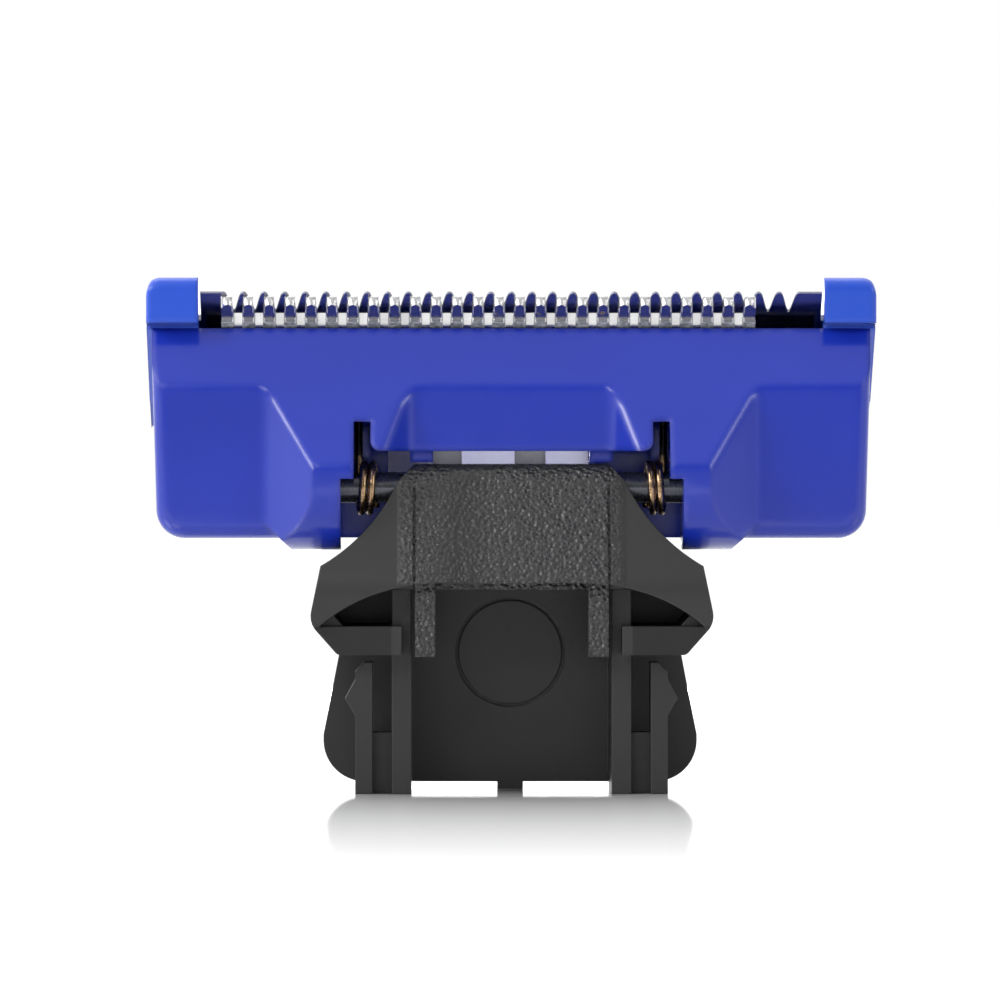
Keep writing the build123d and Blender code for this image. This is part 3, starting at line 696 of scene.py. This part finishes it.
def swept_tube(name: str, path: Array, radii: Array, around: int) -> bpy.types.Object:
    """Carry a circle along a path: each ring is the path's point plus the radius times the
    cosine and sine of the angle, along two directions square to the path. Each direction is
    the last one with its part along the path taken out, so the rings don't twist.

    Args:
        name: The object's name.
        path: Points of the path, in metres.
        radii: The circle's radius at each point.
        around: Points in each ring.

    Returns:
        The closed tube.
    """
    along = np.gradient(path, axis=0)
    along /= np.linalg.norm(along, axis=1, keepdims=True)
    first = np.cross(along[0], (0.3, 0.5, 0.8))
    sides = [first / np.linalg.norm(first)]
    for tangent in along[1:]:
        side = sides[-1] - np.dot(sides[-1], tangent) * tangent
        sides.append(side / np.linalg.norm(side))
    normal = np.array(sides)
    binormal = np.cross(along, normal)
    angle = np.linspace(0.0, 2.0 * math.pi, around, endpoint=False)[None, :, None]
    circle = np.cos(angle) * normal[:, None, :] + np.sin(angle) * binormal[:, None, :]
    return ring_object(name, path[:, None, :] + radii[:, None, None] * circle, smooth=True)


@dataclass
class Moulding:
    """A moulded piece shown as a welded copy of its solid, shaded smooth over shallow edges.

    Fields:
        node: The CAD node that the copy stands for.
        body: The body that it rides on.
        slot: The record's material slot; not used.
        sharp_deg: Angle above which an edge counts as sharp.
    """

    node: str
    body: Body
    slot: str
    sharp_deg: float = 19.0

    WELD_M: ClassVar[float] = 2e-6

    def build(self) -> bpy.types.Object:
        """Weld a copy of the node's mesh and set its normals.

        Returns:
            The new object.
        """
        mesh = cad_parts[self.node].data.copy()
        welded = bmesh.new()
        welded.from_mesh(mesh)
        bmesh.ops.remove_doubles(welded, verts=welded.verts, dist=self.WELD_M)
        bmesh.ops.dissolve_degenerate(welded, edges=welded.edges, dist=self.WELD_M)
        self.slice(welded)
        bmesh.ops.triangulate(welded, faces=welded.faces)
        welded.to_mesh(mesh)
        welded.free()
        mesh.materials.clear()
        self.reshape(mesh)
        self.soften(mesh)
        piece = bpy.data.objects.new(self.node + "_moulding", mesh)
        bpy.context.scene.collection.objects.link(piece)
        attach(piece, self.body.value)
        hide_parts(self.node)
        return piece

    def slice(self, welded: bmesh.types.BMesh) -> None:
        """Add edges where a piece is reshaped; a plain moulding needs none."""

    def reshape(self, mesh: bpy.types.Mesh) -> None:
        """Move points of the copy; a plain moulding keeps its solid's form."""

    def soften(self, mesh: bpy.types.Mesh) -> None:
        """Give each corner the area-weighted sum of the normals of those faces round its vertex
        that lie within the sharp angle of its own face. All pairs of corners that share a
        vertex are compared at once.

        Args:
            mesh: A triangle mesh.
        """
        count = len(mesh.polygons)
        normals = np.empty(3 * count)
        areas = np.empty(count)
        corners = np.empty(3 * count, dtype=np.int32)
        mesh.polygons.foreach_get("normal", normals)
        mesh.polygons.foreach_get("area", areas)
        mesh.loops.foreach_get("vertex_index", corners)
        normals = normals.reshape(-1, 3)
        order = np.argsort(corners, kind="stable")
        shared = np.bincount(corners)
        first = (np.cumsum(shared) - shared)[corners[order]]
        size = shared[corners[order]]
        own = np.repeat(np.arange(3 * count), size)
        other = first[own] + np.arange(len(own)) - np.repeat(np.cumsum(size) - size, size)
        face, beside = order[own] // 3, order[other] // 3
        close = np.einsum("ij,ij->i", normals[face], normals[beside])
        kept = close > math.cos(math.radians(self.sharp_deg))
        beside = beside[kept]
        blended = np.zeros((3 * count, 3))
        np.add.at(blended, order[own[kept]], areas[beside, None] * normals[beside])
        blended /= np.linalg.norm(blended, axis=1, keepdims=True) + 1e-12
        mesh.polygons.foreach_set("use_smooth", np.ones(count, dtype=bool))
        mesh.normals_split_custom_set(blended.tolist())


@dataclass(kw_only=True)
class EndCap(Moulding):
    """An end cap whose upper edge is rounded off towards the end of the head.

    Fields:
        plane: The plane of the comb's underside.
        round_mm: Radius of the round.
        fade_mm: Depth under the comb's underside where the round has faded out.
        cuts: Rows of edges across the round.
    """

    plane: BladePlane
    round_mm: float = 0.75
    fade_mm: float = 0.6
    cuts: int = 7

    def slice(self, welded: bmesh.types.BMesh) -> None:
        """Cut rows of edges across the round, closer together at the end.

        Args:
            welded: The welded copy.
        """
        low, high = (corner[0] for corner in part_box(self.node))
        outer = high if high > 0 else low
        for share in np.sin(np.linspace(0.0, math.pi / 2, self.cuts + 1))[:-1]:
            place = outer - math.copysign((1.0 - float(share)) * self.round_mm * MM, outer)
            bmesh.ops.bisect_plane(
                welded,
                geom=[*welded.verts, *welded.edges, *welded.faces],
                dist=HAIR_MM * MM,
                plane_co=(place, 0.0, 0.0),
                plane_no=(1.0, 0.0, 0.0),
            )

    def reshape(self, mesh: bpy.types.Mesh) -> None:
        """Lower the upper side by radius - sqrt(radius ** 2 - a ** 2), where a runs from 0 to
        almost the radius at the end of the cap. The drop fades out within the millimetre over
        the fade's depth.

        Args:
            mesh: The copy's mesh.
        """
        points = np.empty(3 * len(mesh.vertices))
        mesh.vertices.foreach_get("co", points)
        points = points.reshape(-1, 3)
        radius = self.round_mm * MM
        outer = np.abs(points[:, 0]).max()
        reach = 0.97 * np.clip(np.abs(points[:, 0]) - (outer - radius), 0.0, radius)
        drop = radius - np.sqrt(radius**2 - reach**2)
        away = points - np.array(self.plane.origin)
        up = away[:, 1] * self.plane.sine + away[:, 2] * self.plane.cosine
        points[:, 2] -= drop * np.clip(up / MM + self.fade_mm, 0.0, 1.0)
        mesh.vertices.foreach_set("co", points.ravel())
        mesh.update()


@dataclass
class TorsionSpring:
    """One wire torsion spring round a hinge pin: a coil with a leg at each end. The real spring
    winds up as the head pivots; this one is one fixed shape.

    Fields:
        side: The end of the head that it serves.
        wire_mm, mean_radius_mm: Diameter of the wire, and the coil's radius at its middle.
        pitch_mm, turns: The coil's advance in a turn, and its turns.
        outer_x_mm: Where the coil passes into its upright leg.
        neck_leg_mm: Length of the leg that points down.
        around, steps_per_turn: Points round the wire, and rings in a turn.
    """

    side: Side
    wire_mm: float = 0.4
    mean_radius_mm: float = 1.25
    pitch_mm: float = 0.45
    turns: int = 2
    outer_x_mm: float = 8.02
    neck_leg_mm: float = 1.05
    around: int = 16
    steps_per_turn: int = 72

    def build(self) -> bpy.types.Object:
        """Sweep the wire along a helix about X that runs on into straight legs at both ends.

        Returns:
            The spring.
        """
        node = f"{self.side.word}_torsion_spring"
        high = np.array(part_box(node)[1])
        pin_low, pin_high = (np.array(corner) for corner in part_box(f"{self.side.word}_pivot_pin"))
        _, hinge_y, hinge_z = (pin_low + pin_high) / 2
        wire, radius = self.wire_mm * MM / 2, self.mean_radius_mm * MM
        outer, advance = self.outer_x_mm * MM, self.pitch_mm * MM * self.turns
        steps = self.turns * self.steps_per_turn + 1
        angle = np.linspace(0.0, 2.0 * math.pi * self.turns, steps)
        x = outer + advance * (angle / angle[-1] - 1.0)
        y, z = hinge_y + radius * np.cos(angle), hinge_z + radius * np.sin(angle)
        coil = np.stack((x, y, z), axis=1)
        rise = np.array((0.0, 0.0, 1.0))
        down = coil[0] - rise * np.linspace(self.neck_leg_mm * MM, 0.0, 8)[:-1, None]
        up = coil[-1] + rise * np.linspace(0.0, high[2] - hinge_z, 10)[1:, None]
        path = np.concatenate((down, coil, up))
        path[:, 0] *= self.side.value
        spring = swept_tube(node + "_wire", path, np.full(len(path), wire), self.around)
        if self.side is Side.LEFT:
            spring.data.flip_normals()
        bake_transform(spring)
        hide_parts(node)
        return spring


@dataclass
class PivotPin:
    """One hinge pin: a turned rod with a small chamfer at each end.

    Fields:
        side: The end of the head that it carries.
        chamfer_mm: Its chamfers.
        around: Points round it.
    """

    side: Side
    chamfer_mm: float = 0.12
    around: int = 48

    def build(self) -> bpy.types.Object:
        """Revolve the pin's outline about the hinge axis: radius as a function of X.

        Returns:
            The pin.
        """
        node = f"{self.side.word}_pivot_pin"
        low, high = (np.array(corner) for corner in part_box(node))
        chamfer = self.chamfer_mm * MM
        radius = (high[2] - low[2]) / 2
        path = np.tile((low + high) / 2, (4, 1))
        path[:, 0] = (low[0], low[0] + chamfer, high[0] - chamfer, high[0])
        radii = np.array((radius - chamfer, radius, radius, radius - chamfer))
        pin = swept_tube(node + "_rod", path, radii, self.around)
        pin.data.set_sharp_from_angle(angle=math.radians(30))
        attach(pin, Body.NECK.value)
        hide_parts(node)
        return pin


@dataclass
class Comb:
    """The fixed comb: a plate ground thin towards its pointed, round-ended teeth.

    Fields:
        plane: The plane of its underside.
        half_width_mm, half_length_mm: Middle to tooth tips, and to the ends of the broad teeth.
        tab_half_mm: Half the width of the end tabs.
        tooth_mm, slot_mm: Depth of the slots, and the width of their mouths.
        teeth, end_tooth_mm: Narrow teeth on each edge, and the length of the broad ones.
        tip_mm, root_mm: Thickness at the tips and at the slots' roots.
        shoulder_mm: Distance from the slots' roots to where the grinding starts.
        chamfer_mm, steepest: Chamfer round the underside, and the steepest flank it follows.
        sharpness: How pointed the teeth are.
        step_mm: Distance between sections.
    """

    plane: BladePlane
    half_width_mm: float = 4.8
    half_length_mm: float = 16.35
    tab_half_mm: float = 2.6
    tooth_mm: float = 1.46
    teeth: int = 27
    end_tooth_mm: float = 1.42
    slot_mm: float = 0.62
    tip_mm: float = 0.09
    root_mm: float = 0.14
    shoulder_mm: float = 0.04
    chamfer_mm: float = 0.035
    steepest: float = 6.0
    sharpness: float = 1.35
    step_mm: float = 0.018

    def edge(self, x: Array) -> Array:
        """Middle to edge at a place along the comb: the tips' distance less
        depth * sin(90 deg * s ** sharpness) ** 2, where s runs from 0 at a tooth's middle to 1
        at a slot's middle. The broad teeth stay at 0 past the outermost slot's flank.

        Args:
            x: Places along the comb, in millimetres.

        Returns:
            The distances, in millimetres.
        """
        pitch = 2.0 * (self.half_length_mm - self.end_tooth_mm - self.slot_mm / 2) / self.teeth
        last_slot = pitch * self.teeth / 2
        away = np.abs(x)
        inside = np.abs(away / pitch - np.round(away / pitch)) * 2.0
        outside = np.clip(1.0 - 2.0 * (away - last_slot) / pitch, 0.0, 1.0)
        share = np.where(away < last_slot, inside, outside)
        cut = self.tooth_mm * np.sin(math.pi / 2 * share**self.sharpness) ** 2
        return np.where(away <= self.half_length_mm, self.half_width_mm - cut, self.tab_half_mm)

    def build(self) -> bpy.types.Object:
        """Carry the plate's section along X, as wide as the edge allows at each place.

        Returns:
            The comb.
        """
        low, high = (corner[0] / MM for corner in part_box("comb"))
        inner = np.arange(-self.half_length_mm, self.half_length_mm, self.step_mm)
        ends = np.array((-HAIR_MM, 0.0, HAIR_MM)) + np.array((-1, 1, 1)) * self.half_length_mm
        x = np.unique(np.concatenate(((low, high), ends, inner)))
        toothed = np.abs(x) <= self.half_length_mm
        edge = self.edge(x)
        slope = np.gradient(edge, x)
        flank = np.abs(x) < self.half_length_mm - self.step_mm
        lean = np.where(flank, slope / np.hypot(1.0, slope), 0.0)
        inset = self.chamfer_mm / np.hypot(1.0, np.clip(slope, -self.steepest, self.steepest))
        shoulder = np.minimum(edge, self.half_width_mm - self.tooth_mm - self.shoulder_mm)
        crown = np.minimum(edge, self.tab_half_mm)
        full = np.full_like(x, BladePlane.comb_mm)
        thinning = (self.half_width_mm - edge) / self.tooth_mm
        top = np.where(toothed, self.tip_mm + (self.root_mm - self.tip_mm) * thinning, full)
        near = (
            (x + self.chamfer_mm * lean, inset - edge, np.zeros_like(x)),
            (x, -edge, np.full_like(x, self.chamfer_mm)),
            (x, -edge, top),
            (x, -shoulder, np.where(toothed, self.root_mm, full)),
            (x, -crown, full),
        )
        comb = ring_object("comb_plate", self.plane.rings(near))
        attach(comb, Body.HEAD.value)
        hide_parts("comb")
        return comb


@dataclass
class Cutter:
    """The sliding cutter: a ground block with tapering teeth, an arched bevel at each tip and
    a ramp at the end of each slot.

    Fields:
        plane: The plane of the comb's underside.
        half_width_mm: Middle to tooth tips.
        tooth_mm, teeth: Depth of the slots, and teeth on each edge.
        mouth_mm, root_mm: Width of a slot at the tips and at its end.
        top_mm, tooth_low_mm, low_mm: Heights of the top and of the teeth's and block's undersides.
        tip_mm: Height of the upright face at the tips.
        bevel_mm, arch_mm: Length of the tip's bevel, and what it gains towards a tooth's sides.
        ramp_mm: Length of a slot's ramp.
        edge_mm: Chamfer along the teeth's sides.
        step_mm: Distance between sections.
    """

    plane: BladePlane
    half_width_mm: float = 4.55
    tooth_mm: float = 1.3
    teeth: int = 26
    mouth_mm: float = 0.56
    root_mm: float = 0.42
    top_mm: float = -0.02
    tooth_low_mm: float = -0.52
    low_mm: float = -0.72
    tip_mm: float = 0.08
    bevel_mm: float = 0.12
    arch_mm: float = 0.26
    ramp_mm: float = 0.9
    edge_mm: float = 0.05
    step_mm: float = 0.02

    def build(self) -> bpy.types.Object:
        """Carry the block's section along X. In a tooth the bevel's length is
        bevel + arch * s ** 2, where s runs from 0 at the tooth's middle to 1 at its side, and
        in a slot the section starts at the ramp.

        Returns:
            The cutter.
        """
        low, high = (corner[0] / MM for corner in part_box("cutter"))
        middle = (low + high) / 2
        pitch = (high - low + self.root_mm) / self.teeth
        last = self.teeth // 2 - 1
        mouth, end = self.mouth_mm / 2, self.root_mm / 2
        flank = np.array((end - HAIR_MM, end + HAIR_MM, mouth, mouth + self.edge_mm))
        slots = pitch * np.arange(-last, last + 1)[:, None]
        even = np.arange(low, high, self.step_mm) - middle
        flanks = np.concatenate((slots + flank, slots - flank)).ravel()
        x = np.unique(np.round(np.concatenate((even, flanks, (high - middle,))), 5))
        away = np.abs(x - pitch * np.clip(np.round(x / pitch), -last, last))
        in_slot = away < end
        taper = np.clip((mouth - away) / (mouth - end), 0.0, 1.0)
        start = self.tooth_mm * taper - self.half_width_mm
        side = np.clip(np.abs(pitch / 2 - away) / (pitch / 2 - mouth), 0.0, 1.0)
        bevel = self.bevel_mm + self.arch_mm * side**2 - self.half_width_mm
        chamfer = np.clip(self.edge_mm + mouth - away, 0.0, self.edge_mm)
        root = self.tooth_mm - self.half_width_mm
        outline = (
            (start, self.top_mm),
            (start, self.top_mm - self.tip_mm),
            (np.maximum(start, bevel), self.tooth_low_mm),
            (root, self.tooth_low_mm),
            (root, self.low_mm),
            (root + self.ramp_mm + self.edge_mm, self.low_mm),
        )
        near = []
        for across, height in outline:
            ramp = root + self.ramp_mm * (self.top_mm - height) / (self.top_mm - self.low_mm)
            place = np.where(in_slot, np.maximum(ramp, across), across)
            near.append((x + middle, place, height + chamfer * (height == self.tooth_low_mm) * ~in_slot))
        cutter = ring_object("cutter_block", self.plane.rings(near))
        cutter.data.flip_normals()
        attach(cutter, Body.CUTTER.value)
        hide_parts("cutter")
        return cutter


def facing(direction: Array) -> tuple[float, float, float]:
    """Euler angles that turn an object's -Z towards a direction, with its top up.

    Args:
        direction: Where it looks.

    Returns:
        The three angles.
    """
    level = math.hypot(direction[0], direction[1])
    pitch = math.atan2(direction[2], level)
    heading = math.atan2(-direction[0], direction[1])
    return (math.pi / 2 + pitch, 0.0, heading)


@dataclass(frozen=True)
class SoftBox:
    """An area lamp that looks at the object's middle.

    Fields:
        name: The lamp's name.
        place: Its place, in metres.
        size: Its width and height, in metres.
        watts: Its power.
    """

    name: str
    place: RGB
    size: Pair
    watts: float

    aim: ClassVar[RGB] = (0.0, 0.0, 0.015)

    def build(self) -> None:
        """Hang the lamp."""
        lamp = bpy.data.lights.new(self.name, "AREA")
        lamp.shape = "RECTANGLE"
        lamp.size, lamp.size_y = self.size
        lamp.energy = self.watts
        obj = bpy.data.objects.new(self.name, lamp)
        obj.location = self.place
        obj.rotation_euler = facing(np.array(self.aim) - np.array(self.place))
        bpy.context.scene.collection.objects.link(obj)


@dataclass
class Studio:
    """Floor, light and camera of the product picture.

    Fields:
        view_mm, sensor_mm: Width of the picture at the object's near face, and of the sensor.
        distance_mm: Camera to near face.
        eye_x_mm, eye_z_mm, aim_x_mm: Place of the camera and of the picture's middle.
        sheet_half_m, sheet_gap_mm: Half the sheet's width, and its gap under the feet.
        sheet_near, sheet_far, sheet_change_mm: The sheet's colours, darker near the part as painted
            shade that deepens its reflection, and where they change.
        mirror_share, mirror_foot_mm, mirror_reach_mm: The floor's mirror, and where it fades.
        front_light, tent_light, front_turn: The tent's light in front and behind, by Y.
        right_share, right_turn: The share of it that the right side keeps, by X.
        crown_light, crown_turn: What the tent's top adds, by Z.
        boxes: The lamps: at both sides, above, over the camera and behind the housing's window.
    """

    view_mm: float = 52.1
    distance_mm: float = 380.0
    eye_x_mm: float = -4.5
    aim_x_mm: float = -0.63
    eye_z_mm: float = 15.4
    sensor_mm: float = 36.0
    sheet_half_m: float = 3.0
    sheet_gap_mm: float = 0.02
    sheet_near: RGB = (0.72, 0.72, 0.72)
    sheet_far: RGB = (0.97, 0.97, 0.97)
    sheet_change_mm: Pair = (60.0, 200.0)
    mirror_share: float = 0.70
    mirror_reach_mm: float = 104.0
    mirror_foot_mm: float = 6.0
    front_light: float = 0.24
    tent_light: float = 1.62
    front_turn: Pair = (-0.97, 0.3)
    right_share: float = 0.4
    right_turn: Pair = (-0.2, 0.9)
    crown_light: float = 0.18
    crown_turn: Pair = (0.1, 0.9)
    boxes: tuple[SoftBox, ...] = (
        SoftBox("left_box", (-0.28, -0.14, 0.20), (0.08, 0.18), 0.56),
        SoftBox("right_box", (0.28, -0.20, 0.14), (0.08, 0.18), 0.20),
        SoftBox("top_box", (0.0, 0.10, 0.36), (0.30, 0.08), 0.15),
        SoftBox("front_card", (-0.17, -0.44, 0.24), (0.14, 0.05), 0.34),
        SoftBox("back_box", (0.0, 0.22, 0.022), (0.04, 0.012), 0.42),
    )

    def build(self) -> None:
        """Set up floor, world, lamps, camera and view."""
        self.floor()
        self.world()
        for box in self.boxes:
            box.build()
        self.camera()
        bpy.context.scene.view_settings.view_transform = "Standard"

    def floor(self) -> None:
        """A wide white sheet whose mirror fades with the distance from the part:
        share = strength * ((reach - distance) / (reach - foot)) ** 1.5."""
        signs = np.array(((-1, -1, 0), (1, -1, 0), (1, 1, 0), (-1, 1, 0)), dtype=float)
        corners = signs * self.sheet_half_m - np.array((0.0, 0.0, self.sheet_gap_mm * MM))
        sheet = surface_object("floor", corners, [(0, 1, 2, 3)], smooth=False)
        tree = ShaderTree("white_sheet")
        x, y, _ = tree.axes()
        away = tree.math("SQRT", tree.math("ADD", tree.product(x, x), tree.product(y, y)))
        near = tree.span_mm(away, self.mirror_reach_mm, self.mirror_foot_mm)
        share = tree.product(tree.math("POWER", near, 1.5), self.mirror_share)
        # Painted shade: the sheet is darker near the part, which deepens its reflection there.
        change = tree.span_mm(away, *self.sheet_change_mm)
        pale = tree.blend(change, self.sheet_near, self.sheet_far)
        tree.set(base_color=pale, roughness=0.9, specular_ior_level=0.0)
        mirror = tree.node("BsdfGlossy")
        mirror.inputs["Color"].default_value = (1.0, 1.0, 1.0, 1.0)
        mirror.inputs["Roughness"].default_value = 0.04
        mix = tree.node("MixShader")
        for socket, value in zip(mix.inputs, (share, tree.shader.outputs[0], mirror.outputs[0])):
            tree.feed(socket, value)
        tree.feed(tree.tree.nodes["Material Output"].inputs["Surface"], mix.outputs[0])
        sheet.data.materials.append(tree.material)

    def world(self) -> None:
        """A white tent that is dim towards the camera's side, and plain white to the camera."""
        world = bpy.data.worlds.new("tent")
        world.use_nodes = True
        bpy.context.scene.world = world
        tree = NodeTree(world.node_tree, "Generated")
        x, y, z = tree.axes()
        spread = tree.span(y, *self.front_turn, (self.front_light, self.tent_light))
        lean = tree.span(x, *self.right_turn, (1.0, self.right_share))
        crown = tree.span(z, *self.crown_turn, (0.0, self.crown_light))
        light = tree.math("MULTIPLY_ADD", spread, lean, crown)
        seen = tree.node("Mix")
        direct = tree.node("LightPath").outputs["Is Camera Ray"]
        for socket, value in zip((seen.inputs[0], *seen.inputs[2:4]), (direct, light, 1.0)):
            tree.feed(socket, value)
        shade = world.node_tree.nodes["Background"]
        shade.inputs["Color"].default_value = (1.0, 1.0, 1.0, 1.0)
        tree.feed(shade.inputs["Strength"], seen.outputs[0])

    def camera(self) -> None:
        """A long lens, level with the hinge."""
        near = CAD_BOX[0][1]
        lens = bpy.data.cameras.new("camera")
        lens.sensor_width = self.sensor_mm
        lens.lens = self.sensor_mm * self.distance_mm / self.view_mm
        eye = np.array((self.eye_x_mm * MM, near - self.distance_mm * MM, self.eye_z_mm * MM))
        aim = np.array((self.aim_x_mm * MM, near, self.eye_z_mm * MM))
        obj = bpy.data.objects.new("camera", lens)
        obj.location = eye
        obj.rotation_euler = facing(aim - eye)
        bpy.context.scene.collection.objects.link(obj)
        bpy.context.scene.camera = obj


@dataclass
class ShaverHead:
    """The whole part: its mouldings, blades, hinge and springs, with a field for each finish."""

    blue: BluePlastic = BluePlastic()
    cap_blue: BluePlastic = BluePlastic(
        "blue_cap_plastic", deep=(0.012, 0.066, 0.50), light=(0.014, 0.074, 0.55), edge_mm=0.35
    )
    black: BlackPlastic = BlackPlastic()
    grey: GreyPlastic = GreyPlastic()
    wire: Wire = Wire()
    pin: DarkPin = DarkPin()
    # Painted shade and reflection: the comb's dark, blue-tinted colour stands in for the shade and the
    # blue housing that it mirrors.
    comb_steel: Steel = Steel("comb_steel", (0.34, 0.35, 0.42), 0.18, 6.0, (0.2, 1.0, 1.0))
    cutter_steel: Steel = Steel(
        "cutter_steel",
        (0.84, 0.84, 0.85),
        0.20,
        9.0,
        (0.15, 1.0, 1.0),
        spots_mm=((-0.8, -1.9, 25.1), (1.45, -1.9, 25.1), (4.8, -1.9, 25.2), (7.4, -1.9, 25.1)),
    )
    leaf_steel: Steel = Steel("leaf_steel", (0.6, 0.6, 0.62), 0.25, 8.0, (0.2, 1.0, 1.0))

    def build(self) -> None:
        """Build and dress every piece."""
        plane = BladePlane.from_comb()
        blue = self.blue.build()
        self.dress(Moulding("head_housing", Body.HEAD, "blue_plastic").build(), blue)
        cap = self.cap_blue.build()
        for side in Side:
            end_cap = EndCap(f"{side.word}_end_cap", Body.HEAD, "blue_plastic", plane=plane)
            self.dress(end_cap.build(), cap)
        self.dress(Moulding("neck", Body.NECK, "black_plastic").build(), self.black.build())
        carriage = Moulding("cutter_carriage", Body.CUTTER, "grey_plastic")
        self.dress(carriage.build(), self.grey.build())
        self.dress(Comb(plane).build(), self.comb_steel.build())
        self.dress(Cutter(plane).build(), replace(self.cutter_steel, plane=plane).build())
        leaf = self.leaf_steel.build()
        wire = self.wire.build()
        pin = self.pin.build()
        for side in Side:
            self.dress(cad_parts[f"{side.word}_leaf_spring"], leaf)
            self.dress(TorsionSpring(side).build(), wire)
            self.dress(PivotPin(side).build(), pin)

    @staticmethod
    def dress(piece: bpy.types.Object, material: bpy.types.Material) -> None:
        """Give a piece one material in all its slots and report it.

        Args:
            piece: The piece.
            material: Its finish.
        """
        if piece.material_slots:
            for holder in piece.material_slots:
                holder.material = material
        else:
            piece.data.materials.append(material)
        log.info("%s: %s, %d faces", piece.name, material.name, len(piece.data.polygons))


def main() -> None:
    """Build the part and the studio."""
    ShaverHead().build()
    Studio().build()


if __name__ == "__main__":
    main()
